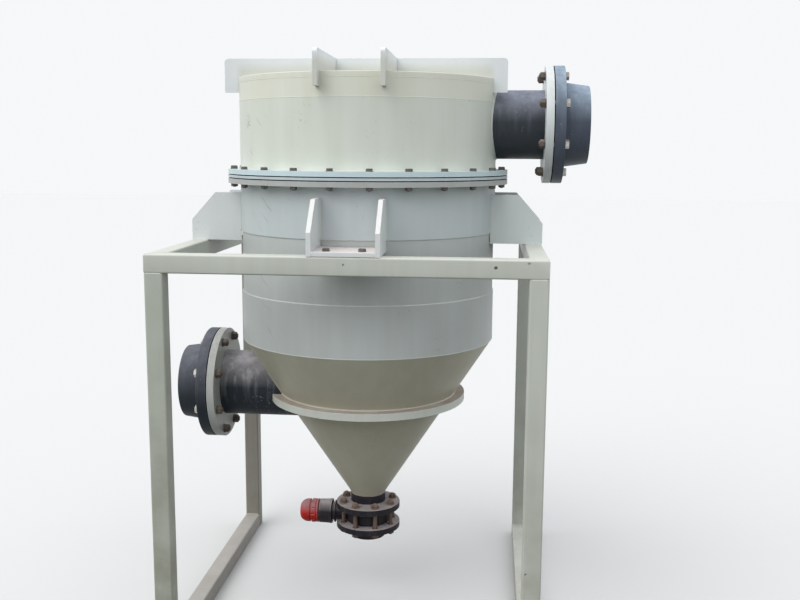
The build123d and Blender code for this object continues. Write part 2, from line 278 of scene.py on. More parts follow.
# %% Bars and blocks
def round_bar(name, radius, start, end, steps=pipe_steps):
    """A plain round bar from one point to another, used as a cutter or as the start of a piece."""
    start, end = Vector(start), Vector(end)
    along = end - start
    clear_selection()
    bpy.ops.mesh.primitive_cylinder_add(
        vertices=steps,
        radius=radius,
        depth=along.length,
        location=(start + end) / 2,
        rotation=along.to_track_quat("Z", "Y").to_euler(),
    )
    return settle(name)


def block(name, corner_low, corner_high):
    """A plain block between two corners, the start of a plate or a tube."""
    corner_low, corner_high = Vector(corner_low), Vector(corner_high)
    clear_selection()
    bpy.ops.mesh.primitive_cube_add(
        size=1, location=(corner_low + corner_high) / 2, scale=corner_high - corner_low
    )
    return settle(name)


# %% [markdown]
# ## Hot gas weld beads
# Plastic sheet is joined with a filler rod that is melted into the corner. It leaves a narrow
# rounded bead with small uneven ripples. A ring bead is a thin torus, a straight one a thin bar
# with many cuts, and both are shaken a little with a fixed seed, so each run gives the same bead.

# %% Beads
beads = []
steel_beads = []


def ripple(bead, offset, seed):
    """Gives a bead its small uneven ripples."""
    work_on(bead)
    bpy.ops.object.mode_set(mode="EDIT")
    bpy.ops.mesh.select_all(action="SELECT")
    bpy.ops.transform.vertex_random(offset=offset, seed=seed)
    leave_edit()
    bpy.ops.object.shade_smooth()
    return bead


def ring_bead(radius, height, thick, axis="Z", steps=fine_steps):
    """A bead all the way round, level about Z or upright about X."""
    clear_selection()
    bpy.ops.mesh.primitive_torus_add(
        major_radius=radius,
        minor_radius=thick,
        major_segments=steps,
        minor_segments=8,
        location=(0, 0, height),
        rotation=(0, 0, 0) if axis == "Z" else (0, pi / 2, 0),
    )
    bead = ripple(settle("bead"), 0.12 * thick, len(beads))
    beads.append(bead)
    return bead


def line_bead(start, end, thick, store=beads):
    """A bead along a straight corner."""
    start, end = Vector(start), Vector(end)
    direction = (end - start).normalized()
    bead = round_bar("bead", thick, start, end, steps=8)
    pick(bead, "EDGE", lambda a, b: abs((b - a).normalized().dot(direction)) > 0.9)
    bpy.ops.mesh.subdivide(number_cuts=max(2, int((end - start).length / (5 * MM))))
    store.append(ripple(bead, 0.14 * thick, len(store)))


# %% [markdown]
# ## The stand
# The stand is welded from 50 mm square tube with rounded corners. A top rail starts as a block of
# its full length, its ends are cut off at 45 degrees with bisect, as on a mitre saw, and its long
# edges are rounded with bevel. The legs stop under the rails, and two rails join them on the
# ground. A few small holes in the front faces are left from an earlier use.

# %% Stand tubes
tube_corner = 5 * MM
tube_size = high("top_rail_front").z - low("top_rail_front").z
half_stand = Vector((high("top_rail_right").x, high("top_rail_back").y, high("top_rail_front").z))


def level_point(along, run, aside, height=0.0):
    """A point from its places along and across an axis, which is 0 for X and 1 for Y."""
    return Vector((run, aside, height) if along == 0 else (aside, run, height))


def square_tube(node, along, mitre):
    """A length of square tube in the place of a node of the frame."""
    lo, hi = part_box(node)
    tube = block(node + "_tube", lo, hi)
    if mitre:
        across = 1 - along
        outside = 1 if lo[across] + hi[across] > 0 else -1
        for end in (-1, 1):
            corner = level_point(along, end * half_stand[along], outside * half_stand[across])
            saw = {"plane_co": corner, "plane_no": level_point(along, end, -outside)}
            pick(tube, "FACE", lambda centre, direction: True)
            bpy.ops.mesh.bisect(**saw, use_fill=True, clear_outer=True, threshold=same_place)
            leave_edit()
    pick(tube, "EDGE", lambda a, b: abs((b - a).normalized()[along]) > 0.99)
    bpy.ops.mesh.bevel(offset=tube_corner, segments=4, affect="EDGES")
    leave_edit()
    return soften(tube, 0.5 * MM, 1)


stand_nodes = {f"leg_{end}_{side}": 2 for end in ("front", "back") for side in ("left", "right")}
stand_nodes |= {"foot_rail_left": 1, "foot_rail_right": 1, "top_rail_front": 0, "top_rail_back": 0}
stand_nodes |= {"top_rail_left": 1, "top_rail_right": 1}
stand_tubes = {node: square_tube(node, along, "top" in node) for node, along in stand_nodes.items()}

hole_radius, hole_depth = 3.5 * MM, 4 * MM
front_face = low("top_rail_front").y
rail_middle = high("top_rail_front").z - tube_size / 2
small_holes = (
    ("top_rail_front", 1 * MM, rail_middle + 5 * MM),
    ("top_rail_front", 468 * MM, rail_middle + 16 * MM),
    ("leg_front_right", 479 * MM, 305 * MM),
)
for node, x, z in small_holes:
    start, end = (x, front_face - MM, z), (x, front_face + hole_depth, z)
    cut(stand_tubes[node], round_bar("cutter", hole_radius, start, end, 12))
print("stand tubes", len(stand_tubes), "of size", round(tube_size / MM, 1), "mm")

# %% [markdown]
# ## Welds of the stand
# Steel beads close the mitres on top, run under the rails where the legs meet them, and hold the
# ground rails to the legs. They are flatter than the plastic beads and take the stand's paint. On
# the outer faces they are ground almost flush, so they stay inside the stand's own size.

# %% Stand welds
steel_bead = 1.7 * MM
ground_flush = 2.1 * MM
set_in = 0.5 * MM
rail_top = high("top_rail_front").z
rail_bottom = low("top_rail_front").z
outer, inner = half_stand.x, half_stand.x - tube_size
mitre_z = rail_top - 0.6 * MM
mitre_out, mitre_in = outer - 0.6 * tube_corner, inner + 0.6 * tube_corner
half = tube_size / 2 - tube_corner


def steel_line(start, end):
    """One bead of the stand."""
    line_bead(start, end, steel_bead, steel_beads)


for side in (-1, 1):
    for end in (-1, 1):
        steel_line((side * mitre_out, end * mitre_out, mitre_z), (side * mitre_in, end * mitre_in, mitre_z))
        leg_x = side * (outer - tube_size / 2)
        leg_y = end * (outer - tube_size / 2)
        for dx, dy in ((0, end), (side, 0), (0, -end), (-side, 0)):
            is_outer = dx == side or dy == end
            reach = tube_size / 2 - (ground_flush if is_outer else set_in)
            x, y = leg_x + dx * reach, leg_y + dy * reach
            run = Vector((half if dx == 0 else 0, half if dy == 0 else 0, 0))
            place = Vector((x, y, rail_bottom))
            steel_line(place - run, place + run)
        foot_y = end * inner
        steel_line((leg_x - half, foot_y, tube_size - set_in), (leg_x + half, foot_y, tube_size - set_in))
        for face in (-1, 1):
            face_x = leg_x + face * (tube_size / 2 - (ground_flush if face == side else set_in))
            steel_line((face_x, foot_y, tube_corner), (face_x, foot_y, tube_size - tube_corner))
stand_welds = join("stand_welds", steel_beads)
print("stand weld faces", len(stand_welds.data.polygons))

# %% [markdown]
# ## The shell of the vessel
# Five bands of rolled sheet stand on each other: three below the joint and two above it. Each is
# an open ring with a 10 mm wall. The middle band of the body is set in a little, which draws the
# fine shadow line under the band above it. The drum is drilled for the outlet duct with a round
# cutter.

# %% Bands
wall = 10 * MM
cut_gap = 0.3 * MM
vessel_radius = -low("body_band_lower").y
duct_radius = 100 * MM
inlet_z = (low("inlet_flange").z + high("inlet_flange").z) / 2
outlet_z = (low("outlet_flange").z + high("outlet_flange").z) / 2


def ring(node, wall_thick):
    """A straight ring in the place of a node of the frame."""
    radius, bottom, top = -low(node).y, low(node).z, high(node).z
    outline = [(radius - wall_thick, bottom), (radius, bottom), (radius, top), (radius - wall_thick, top)]
    return turn(node + "_shell", outline)


bands = {}
for node in ("body_band_lower", "body_band_middle", "body_band_upper"):
    bands[node] = soften(ring(node, wall), 1.5 * MM)
for node in ("plenum_band_lower", "plenum_band_upper"):
    band = ring(node, wall)
    inside, outside = 0.5 * vessel_radius, 1.2 * vessel_radius
    hole = round_bar("cutter", duct_radius + cut_gap, (inside, 0, outlet_z), (outside, 0, outlet_z))
    bands[node] = soften(cut(band, hole), 0.8 * MM)
print("bands", list(bands), "radius", round(vessel_radius / MM, 1), "mm")

# %% [markdown]
# ## The hopper
# The cone is rolled from flat sheet in two lengths, with a stiffening ring between them. The
# slope comes from the frame: two radii and the height between them. The inlet duct enters where
# the ring runs, so the same round cutter opens the cone and notches the ring.

# %% Hopper
upper_lo, upper_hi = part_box("upper_hopper")
lower_lo, lower_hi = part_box("lower_hopper")
hopper_slope = (-upper_lo.y + lower_lo.y) / (upper_hi.z - lower_hi.z)
wall_across = wall * sqrt(1 + hopper_slope**2)


def cone_radius(height):
    """The hopper's outer radius at a height."""
    return vessel_radius - (upper_hi.z - height) * hopper_slope


def cone_band(name, bottom, top, rim=None):
    """A conical shell between two heights, or a ring on the cone that reaches out to its rim."""
    inside_low, inside_high = cone_radius(bottom) - wall_across, cone_radius(top) - wall_across
    outside_low, outside_high = rim or cone_radius(bottom), rim or cone_radius(top)
    outline = [(inside_low, bottom), (outside_low, bottom), (outside_high, top), (inside_high, top)]
    return turn(name, outline)


def inlet_cutter():
    """The round cutter of the inlet duct."""
    return round_bar("cutter", duct_radius + cut_gap, (-1.1 * vessel_radius, 0, inlet_z), (0, 0, inlet_z))


ring_lo, ring_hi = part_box("hopper_ring")
stiffener = cone_band("hopper_ring_plate", ring_lo.z, ring_hi.z, -ring_lo.y)
upper_cone = soften(cut(cone_band("upper_hopper_cone", upper_lo.z, upper_hi.z), inlet_cutter()), 0.6 * MM)
lower_cone = soften(cut(cone_band("lower_hopper_cone", lower_lo.z, lower_hi.z), inlet_cutter()), 0.6 * MM)
stiffener = soften(cut(stiffener, inlet_cutter()), 2.5 * MM, 3)
print("cone half angle", round(degrees(atan2(hopper_slope, 1)), 1), "degrees")

# %% [markdown]
# ## The bolted joint
# The two halves of the vessel meet in a flat stack: flange, rubber, tube sheet, rubber, flange.
# Each flange is a turned ring drilled on one circle with all its holes at once, by a cutter that
# is itself a ring of bars.

# %% Joint flanges
main_bolts, main_hole = 24, 6.5 * MM
bolt_circle = -low("body_flange").y - 14 * MM


def circle_spots(count, radius, first):
    """Spots spread evenly round a circle, the first one at an angle in degrees."""
    angles = [radians(first + 360 / count * i) for i in range(count)]
    return [(radius * cos(angle), radius * sin(angle)) for angle in angles]


def drill(piece, spots, radius, bottom, top, steps=16):
    """Drills upright holes at (x, y) spots."""
    bars = [round_bar("bar", radius, (x, y, bottom - MM), (x, y, top + MM), steps) for x, y in spots]
    return cut(piece, join("cutter", bars))


joint_spots = circle_spots(main_bolts, bolt_circle, 180 / main_bolts - 90)
joint_flanges = {}
for node in ("body_flange", "plenum_flange"):
    flange_width = -low(node).y - (vessel_radius - wall)
    flange = ring(node, flange_width)
    drill(flange, joint_spots, main_hole, low(node).z, high(node).z)
    joint_flanges[node] = soften(flange, 1.5 * MM)
print("joint flanges drilled with", main_bolts, "holes each")

# %% [markdown]
# ## Bolts
# A bolt is a six-sided head with its corners turned down, a washer, a shank and a nut with a
# little thread standing out. It is modelled once, upright at the origin, and copied to each hole
# with its own mesh. A few dozen faces are enough, because there are many of them.


# %% Bolt pattern
def hexagon(name, across, near, far):
    """A six-sided head or nut from the washer to its far face, whose corners are turned down."""
    clear_selection()
    bpy.ops.mesh.primitive_cylinder_add(
        vertices=6, radius=across / sqrt(3), depth=abs(far - near), location=(0, 0, (near + far) / 2)
    )
    head = settle(name)
    pick(head, "FACE", lambda centre, normal: abs(centre.z - far) < same_place)
    bpy.ops.mesh.bevel(offset=0.07 * across, segments=2, affect="EDGES")
    leave_edit()
    return head


def washer(radius, bottom, top):
    """A flat washer with a turned edge."""
    disc = round_bar("washer", radius, (0, 0, bottom), (0, 0, top), 20)
    return soften(disc, 0.4 * MM, 1)


def bolt_head(across, face, end, shank, tall):
    """A washer and a head that stand on a face, with the shank down to its end."""
    thick = 0.1 * across
    return join("bolt_head", [
        washer(0.62 * across, face, face + thick),
        hexagon("head", across, face + thick, face + thick + tall * across),
        soften(round_bar("shank", shank, (0, 0, end), (0, 0, face), 12), 0.8 * MM, 1),
    ])


def bolt_nut(across, face, up, shank, tall=0.6, spare=3 * MM):
    """A washer and a nut on a face, above it or below it, with a little thread standing out."""
    thick = 0.1 * across
    far = face + up * (thick + tall * across)
    tip = (0, 0, far + up * spare)
    return join("bolt_nut", [
        washer(0.62 * across, min(face, face + up * thick), max(face, face + up * thick)),
        hexagon("nut", across, face + up * thick, far),
        soften(round_bar("thread", shank, (0, 0, face), tip, 12), 0.8 * MM, 1),
    ])


def set_bolts(name, pattern, matrices):
    """Copies a bolt to each place and joins the copies."""
    copies = [copy_of(pattern, matrix) for matrix in matrices]
    bpy.data.objects.remove(pattern)
    piece = work_on(join(name, copies))
    bpy.ops.object.shade_smooth_by_angle(angle=sharp_angle)
    return piece


def spin_of(index):
    """A turn about the bolt's own axis that looks hand tightened."""
    return Matrix.Rotation(radians(37 * index % 60), 4, "Z")


def upright_places(spots):
    """A place for an upright bolt at each (x, y) spot."""
    return [Matrix.Translation((x, y, 0)) @ spin_of(i) for i, (x, y) in enumerate(spots)]


# %% [markdown]
# ## The bolts of the joint
# Twenty-four bolts close the joint, set half a step to either side of the front. Each head is
# turned by another angle, because nobody lines them up by hand, and equal heads would look
# printed.

# %% Main bolts
joint_top = high("plenum_flange").z
joint_bottom = low("body_flange").z
main_head, main_shank = 17 * MM, 5 * MM
main_bolt = [
    bolt_head(main_head, joint_top, joint_bottom, main_shank, tall=0.38),
    bolt_nut(main_head, joint_bottom, -1, main_shank, tall=0.45, spare=1.5 * MM),
]
main_bolt_set = set_bolts("joint_bolts", join("bolt", main_bolt), upright_places(joint_spots))
print("joint bolts", main_bolts, "faces", len(main_bolt_set.data.polygons))

# %% [markdown]
# ## The lid
# The lid is a flat disc on the drum's top. A cylinder would leave one face with a great many
# corners on top, so the disc is turned like the other round pieces, which gives narrow triangles
# round a pole. The sizes that its ribs need are taken here too.

# %% Lid
lid_lo, lid_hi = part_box("lid_plate")
lid_outline = [(0, lid_lo.z), (vessel_radius, lid_lo.z), (vessel_radius, lid_hi.z), (0, lid_hi.z)]
lid = soften(turn("lid_disc", lid_outline, closed=False), 2.0 * MM, 3)
rib_corner = 12 * MM
rib_lo, rib_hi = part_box("lid_rib_front")
rib_thick = rib_hi.y - rib_lo.y
rib_offset = -(rib_lo.y + rib_hi.y) / 2
slot_half = rib_thick / 2 + 0.2 * MM
lap = (lid_hi.z + rib_hi.z) / 2
print("lid", round((lid_hi.z - lid_lo.z) / MM, 1), "mm thick, ribs lap at", round(lap / MM, 1), "mm")

# %% [markdown]
# ## The ribs of the lid
# Four ribs stiffen the lid, two each way, halved into each other where they cross, with ends that
# hook down over the drum. A rib is drawn as one flat face, its outline extruded point by point,
# and then pushed out to its thickness. The round cutter gives its hooks the drum's curve.


# %% Ribs
def plate(name, outline, axis, middle, thick):
    """A flat plate from an outline of (along, height) points, centred on a plane across X or Y."""
    back = middle - thick / 2
    if axis == "Y":
        points = [Vector((along, back, height)) for along, height in outline]
        push = Vector((0, thick, 0))
    else:
        points = [Vector((back, along, height)) for along, height in outline]
        push = Vector((thick, 0, 0))
    piece = trace(name, points)
    bpy.ops.mesh.select_all(action="SELECT")
    bpy.ops.mesh.edge_face_add()
    bpy.ops.mesh.extrude_region_move(TRANSFORM_OT_translate={"value": push})
    bpy.ops.mesh.select_all(action="SELECT")
    bpy.ops.mesh.normals_make_consistent(inside=False)
    leave_edit()
    return piece


def rib_outline(reach, slots_up):
    """The rib seen from its side, hooked at both ends, with two half-height slots."""
    top, bottom = rib_hi.z, rib_lo.z
    across, up = reach - rib_corner, top - rib_corner
    arc = [radians(18 * i) for i in range(6)]
    points = [(-reach, bottom), (reach, bottom)]
    points += [(across + rib_corner * cos(a), up + rib_corner * sin(a)) for a in arc]
    if slots_up:
        for side in (1, -1):
            slot = side * rib_offset
            points += [(slot + slot_half, top), (slot + slot_half, lap)]
            points += [(slot - slot_half, lap), (slot - slot_half, top)]
    return points + [(-across - rib_corner * cos(a), up + rib_corner * sin(a)) for a in arc[::-1]]


ribs = {}
for node in ("lid_rib_front", "lid_rib_back", "lid_rib_left", "lid_rib_right"):
    lo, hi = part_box(node)
    axis = "Y" if hi.x - lo.x > hi.y - lo.y else "X"
    reach = hi.x if axis == "Y" else hi.y
    middle = (lo.y + hi.y) / 2 if axis == "Y" else (lo.x + hi.x) / 2
    rib = plate(node + "_plate", rib_outline(reach, axis == "Y"), axis, middle, rib_thick)
    drum = round_bar("cutter", vessel_radius + cut_gap, (0, 0, rib_lo.z - MM), (0, 0, lid_hi.z), fine_steps)
    cut(rib, drum)
    if axis == "X":
        for side in (-1, 1):
            y = side * rib_offset
            start, end = (lo.x - MM, y - slot_half, lid_hi.z - MM), (hi.x + MM, y + slot_half, lap)
            cut(rib, block("cutter", start, end))
    ribs[node] = soften(rib, 1.2 * MM)
print("ribs", len(ribs), "thick", round(rib_thick / MM, 1), "mm")

# %% [markdown]
# ## The brackets
# Each bracket is two gussets on a seat plate. The gusset's toe is cut off at a slant. All three
# plates are cut to the vessel's curve with one round cutter, and two bolts hold the seat to the
# rail. Every bracket is made at the front and then turned to its side in its mesh.

# %% Brackets
bracket_thick = 12 * MM
bracket_lo, bracket_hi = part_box("bracket_front")
bracket_half = bracket_hi.x - bracket_thick / 2
toe = bracket_lo.y
toe_rise = 60.5 * MM
chamfer_run = 72 * MM
bolt_spacing, seat_hole, seat_shank = 93 * MM, 7 * MM, 6 * MM
seat_edge = bracket_half - bracket_thick / 2
seat_top = bracket_lo.z + bracket_thick
deep_in = -0.5 * vessel_radius
seat_spots = [(x, toe + tube_size / 2) for x in (-bolt_spacing / 2, bolt_spacing / 2)]
gusset_outline = [
    (deep_in, bracket_lo.z),
    (toe, bracket_lo.z),
    (toe, bracket_lo.z + toe_rise),
    (toe + chamfer_run, bracket_hi.z),
    (deep_in, bracket_hi.z),
]


def quarter(index):
    """A turn about the vessel: none for the front, then on to the right, the back and the left."""
    return Matrix.Rotation(radians(90 * index), 4, "Z")


brackets = {}
for index, side in enumerate(("front", "right", "back", "left")):
    parts = [plate("gusset", gusset_outline, "X", x, bracket_thick) for x in (-bracket_half, bracket_half)]
    seat = block("seat", (-seat_edge, toe, bracket_lo.z), (seat_edge, deep_in, seat_top))
    parts.append(drill(seat, seat_spots, seat_hole, bracket_lo.z, seat_top, 20))
    for part in parts:
        foot, head = (0, 0, bracket_lo.z - MM), (0, 0, bracket_hi.z + MM)
        cut(part, round_bar("cutter", vessel_radius + cut_gap, foot, head, fine_steps))
        soften(part, 1.5 * MM)
    bracket = join("bracket_" + side + "_plates", parts)
    bracket.data.transform(quarter(index))
    brackets["bracket_" + side] = bracket
bracket_bolt_places = [quarter(i) @ Matrix.Translation((*spot, 0)) for i in range(4) for spot in seat_spots]
seat_bolts = set_bolts(
    "bracket_bolts",
    bolt_head(main_head, seat_top, rail_top - 12 * MM, seat_shank, tall=0.38),
    [place @ spin_of(i) for i, place in enumerate(bracket_bolt_places)],
)
print("brackets", len(brackets), "bolts", len(bracket_bolt_places))

# %% [markdown]
# ## Beads round the vessel
# Wherever two sheets meet there is a bead: at each seam of the shell, round both flanges and on
# the stiffening ring. Its centre lies a little in or out from the corner, which sets how much of
# it shows. The two beads of the stiffening ring are cut where the inlet duct passes.

# %% Ring beads
joint_bead, seam_bead, rib_bead, bracket_bead = 2.6 * MM, 1.1 * MM, 2.2 * MM, 2.4 * MM
rib_foot_z, lid_reach = lid_hi.z + 0.4 * MM, vessel_radius - 4 * MM
drum_seams = (low("plenum_band_upper").z, lid_lo.z)
drum_loops = [ring_bead(vessel_radius - 0.6 * MM, seam, seam_bead) for seam in drum_seams]
ring_bead(vessel_radius - 1.2 * MM, upper_hi.z, 1.6 * MM)
ring_bead(vessel_radius + 0.4 * MM, joint_top + 0.4 * MM, joint_bead)
ring_bead(vessel_radius + 0.4 * MM, joint_bottom - 0.4 * MM, joint_bead)
middle_lo, middle_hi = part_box("body_band_middle")
for seam in (middle_hi.z, middle_lo.z):
    ring_bead(0.2 * MM - middle_lo.y, seam, 1.3 * MM)
ring_on_top = ring_bead(cone_radius(ring_hi.z) + 1.2 * MM, ring_hi.z + MM, 3.2 * MM)
ring_below = ring_bead(cone_radius(ring_lo.z) + 0.6 * MM, ring_lo.z - 0.6 * MM, joint_bead)
for loop in (ring_on_top, ring_below):
    cut(loop, inlet_cutter())
print("ring beads", len(beads))

# %% [markdown]
# ## Beads along ribs and brackets
# Along a rib or a gusset the bead is a straight bar. It stops where the next plate crosses it, and
# its ends are worked out from the vessel's circle, so none of them hangs in the air.

# %% Rib and bracket beads
for node in ribs:
    lo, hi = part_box(node)
    along = 0 if hi.x - lo.x > hi.y - lo.y else 1
    across = 1 - along
    for face in (lo[across], hi[across]):
        reach = sqrt(lid_reach**2 - face**2)
        marks = [-reach, -rib_offset - slot_half, -rib_offset + slot_half]
        marks += [rib_offset - slot_half, rib_offset + slot_half, reach]
        for ends in zip(marks[0::2], marks[1::2]):
            start, end = (level_point(along, run, face, rib_foot_z) for run in ends)
            line_bead(start, end, rib_bead)

for index in range(4):
    for x in (-1, 1):
        for face in (-1, 1):
            edge = x * bracket_half + face * bracket_thick / 2
            touch = -sqrt(vessel_radius**2 - edge**2) - 0.3 * MM
            bottom = bracket_lo.z + (bracket_thick if face * x < 0 else 0)
            shelf = max(bottom, middle_hi.z)
            start, end = Vector((edge, touch, shelf)), Vector((edge, touch, bracket_hi.z))
            line_bead(quarter(index) @ start, quarter(index) @ end, bracket_bead)
        inside = x * seat_edge
        start = Vector((inside, toe + 2 * MM, seat_top))
        end = Vector((inside, -sqrt(vessel_radius**2 - inside**2), seat_top))
        line_bead(quarter(index) @ start, quarter(index) @ end, bracket_bead)
print("beads with the straight ones", len(beads))

# %% [markdown]
# ## Beads round the ducts
# The bead round a duct follows the curve where pipe and vessel meet. A torus is flat, so each of
# its vertices is pushed back onto the vessel by the distance that the vessel's own circle gives.


# %% Duct beads
def duct_bead(side, height, radius_at):
    """A bead round a duct, pushed back onto the vessel's surface."""
    loop = ring_bead(duct_radius + 1.2 * MM, height, 2.8 * MM, "X", pipe_steps)
    for vertex in loop.data.vertices:
        surface = sqrt(max(0.0, radius_at(vertex.co.z) ** 2 - vertex.co.y**2))
        vertex.co.x += side * surface
    return loop


duct_bead(1, outlet_z, lambda z: vessel_radius)
low_loops = [ring_on_top, ring_below, duct_bead(-1, inlet_z, cone_radius)]
upper_loops = [loop for loop in beads if loop not in low_loops + drum_loops]
drum_beads = join("drum_welds", drum_loops)
hopper_beads = join("hopper_welds", low_loops)
plastic_beads = join("plastic_welds", upper_loops)
print("plastic weld faces", len(plastic_beads.data.polygons), "and", len(hopper_beads.data.polygons))

# %% [markdown]
# ## The ducts
# Inlet and outlet are the same set of parts: a stub pipe with a collar at its end, a loose white
# ring behind the collar, a rubber seal, and a dark flange whose hub is a socket for the next pipe.
# The hub tapers. Each part is turned about the duct's own level axis, so the outline's distance
# runs along X, to the left for the inlet and to the right for the outlet.

# %% Duct sizes
duct_wall = 6 * MM
collar_radius = 116 * MM
collar_thick = 12 * MM
ring_thick = 22 * MM
flange_radius = high("outlet_flange").z - outlet_z
flange_thick = 30 * MM
seal_thick = 3 * MM
hub_root, hub_end = 118 * MM, 112 * MM
socket_radius = duct_radius + 0.2 * MM
socket_stop = 6 * MM
duct_bolt_circle = flange_radius - 22.5 * MM
duct_spots = circle_spots(8, duct_bolt_circle, 22.5)
duct_nut, duct_shank, duct_hole = 22 * MM, 8 * MM, 11 * MM
duct_bore = duct_radius - duct_wall
stub_start, slide_gap = 20 * MM, 0.5 * MM
print("duct flanges", round(2 * flange_radius / MM, 1), "mm wide, bolts on", round(duct_bolt_circle / MM, 1))

# %% [markdown]
# ## The parts of a duct
# One loop makes both ducts, with a sign for the side. The stub is cut to the inside of the drum or
# of the cone, so its end follows the wall. The loose ring and the flange are drilled together on
# one circle, and heads and nuts are separate pieces, because the nuts have rusted and the heads
# have not.


# %% Duct parts
def duct_drill(piece, height, start, end):
    """Drills the eight holes of a duct flange, either side of the vertical and the level line."""
    bars = []
    for y, z in duct_spots:
        bars.append(round_bar("bar", duct_hole, (start, y, height + z), (end, y, height + z), 20))
    return cut(piece, join("cutter", bars))


ducts = {}
duct_heads, duct_nuts = [], []
for duct, side, height in (("inlet", -1, inlet_z), ("outlet", 1, outlet_z)):
    face = side * (low(duct + "_gasket").x if side > 0 else high(duct + "_gasket").x)
    tip = side * (high(duct + "_flange").x if side > 0 else low(duct + "_flange").x)
    start = face + seal_thick
    root = start + flange_thick

    def level(name, outline):
        """A part turned about the duct's axis, with its distances counted from the vessel's axis."""
        return turn(name, [(r, side * along) for r, along in outline], pipe_steps, "X", height)

    pipe = level(
        duct + "_stub",
        [
            (duct_bore, stub_start),
            (duct_bore, face),
            (collar_radius, face),
            (collar_radius, face - collar_thick),
            (duct_radius, face - collar_thick),
            (duct_radius, stub_start),
        ],
    )
    if duct == "outlet":
        core = round_bar("cutter", vessel_radius - wall, (0, 0, joint_top), (0, 0, lid_lo.z), fine_steps)
    else:
        core = turn(
            "cutter",
            [
                (0, lower_lo.z),
                (cone_radius(lower_lo.z) - wall_across, lower_lo.z),
                (cone_radius(upper_hi.z) - wall_across, upper_hi.z),
                (0, upper_hi.z),
            ],
            closed=False,
        )
    ducts[duct + "_pipe"] = soften(cut(pipe, core), 0.8 * MM)

    loose_ring = level(
        duct + "_loose_ring",
        [
            (duct_radius + slide_gap, face - ring_thick),
            (duct_radius + slide_gap, face - collar_thick),
            (collar_radius + slide_gap, face - collar_thick),
            (collar_radius + slide_gap, face),
            (flange_radius, face),
            (flange_radius, face - ring_thick),
        ],
    )
    duct_drill(loose_ring, height, side * (face - ring_thick - MM), side * (face + MM))
    ducts[duct + "_backing_ring"] = soften(loose_ring, 1.5 * MM)

    socket = level(
        duct + "_socket_flange",
        [
            (duct_bore, start),
            (duct_bore, start + socket_stop),
            (socket_radius, start + socket_stop),
            (socket_radius, tip),
            (hub_end, tip),
            (hub_root + 4 * MM, root + 3 * MM),
            (hub_root + 8 * MM, root),
            (flange_radius, root),
            (flange_radius, start),
        ],
    )
    duct_drill(socket, height, side * (start - MM), side * (root + MM))
    ducts[duct + "_flange"] = soften(socket, 2.0 * MM, 3)

    tip_first = Matrix.Rotation(side * pi / 2, 4, "Y")
    spots = [Matrix.Translation((0, y, height + z)) for y, z in duct_spots]
    places = [spot @ tip_first @ spin_of(i) for i, spot in enumerate(spots)]
    back = face - ring_thick
    head = bolt_head(duct_nut, root, back, duct_shank, tall=0.42)
    nut = bolt_nut(duct_nut, back, -1, duct_shank)
    duct_heads.append(set_bolts(duct + "_bolt_heads", head, places))
    duct_nuts.append(set_bolts(duct + "_bolt_nuts", nut, places))
    print(duct, "face at", round(face / MM, 1), "tip at", round(tip / MM, 1), "mm from the axis")


# %% [markdown]
# ## The discharge valve
# Under the cone hangs a wafer valve, clamped between two flanges by eight studs. Its neck carries
# a round bonnet to the left, where a red cap turns the disc. The upper flange is welded to the
# cone; the lower one is a socket for the pipe below. Both have a hub with a small fillet, so one
# helper makes them, and the bore is added to the outline as each of them needs it.

# %% Valve flanges and studs
valve_bore = 40 * MM
valve_hub, hub_fillet = 54 * MM, 4 * MM
valve_flange_radius = high("discharge_upper_flange").x
valve_circle, stud_hole = valve_flange_radius - 20 * MM, 9 * MM
flange_plate = 18 * MM
upper_valve_lo, upper_valve_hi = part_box("discharge_upper_flange")
lower_valve_lo, lower_valve_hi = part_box("discharge_lower_flange")
valve_spots = circle_spots(8, valve_circle, 22.5)
socket_bore, socket_floor = 45.1 * MM, lower_valve_hi.z - 5 * MM


def valve_flange(name, joint, face, end, bore):
    """A flange with a hub, from its joint out and along to the hub's end, and back down its bore."""
    fillet = hub_fillet if face > joint else -hub_fillet
    outline = [
        (valve_bore, joint),
        (valve_flange_radius, joint),
        (valve_flange_radius, face),
        (valve_hub + hub_fillet, face),
        (valve_hub, face + fillet),
        (valve_hub, end),
    ]
    flange = turn(name, outline + bore, small_steps)
    return soften(drill(flange, valve_spots, stud_hole, min(joint, face), max(joint, face)), 1.2 * MM)


upper_joint, upper_end = upper_valve_lo.z, upper_valve_hi.z
lower_joint, lower_end = lower_valve_hi.z, lower_valve_lo.z
upper_face, lower_face = upper_joint + flange_plate, lower_joint - flange_plate
plain_bore = [(valve_bore, upper_end)]
wide_bore = [(socket_bore, lower_end), (socket_bore, socket_floor), (valve_bore, socket_floor)]
upper_valve_flange = valve_flange("valve_upper_flange", upper_joint, upper_face, upper_end, plain_bore)
lower_valve_flange = valve_flange("valve_lower_flange", lower_joint, lower_face, lower_end, wide_bore)
stud_nut, stud = 20 * MM, 6.5 * MM
stud_parts = [
    round_bar("stud", stud, (0, 0, lower_face), (0, 0, upper_face), 12),
    bolt_nut(stud_nut, upper_face, 1, stud, tall=0.5),
    bolt_nut(stud_nut, lower_face, -1, stud, tall=0.5),
]
valve_studs = set_bolts("valve_studs", join("stud", stud_parts), upright_places(valve_spots))
print("valve flanges", round(valve_flange_radius / MM, 1), "mm radius, studs", len(valve_spots))

# %% [markdown]
# ## The valve's body
# The wafer between the flanges shows only as a dark rim. What catches the eye is the neck, with a
# web on either side, and the bonnet with its deep groove. The steps of a groove are listed in mm,
# in from the rim and along the axis. The parts are closed and overlap inside, so they are only
# joined: a boolean union would look no different.

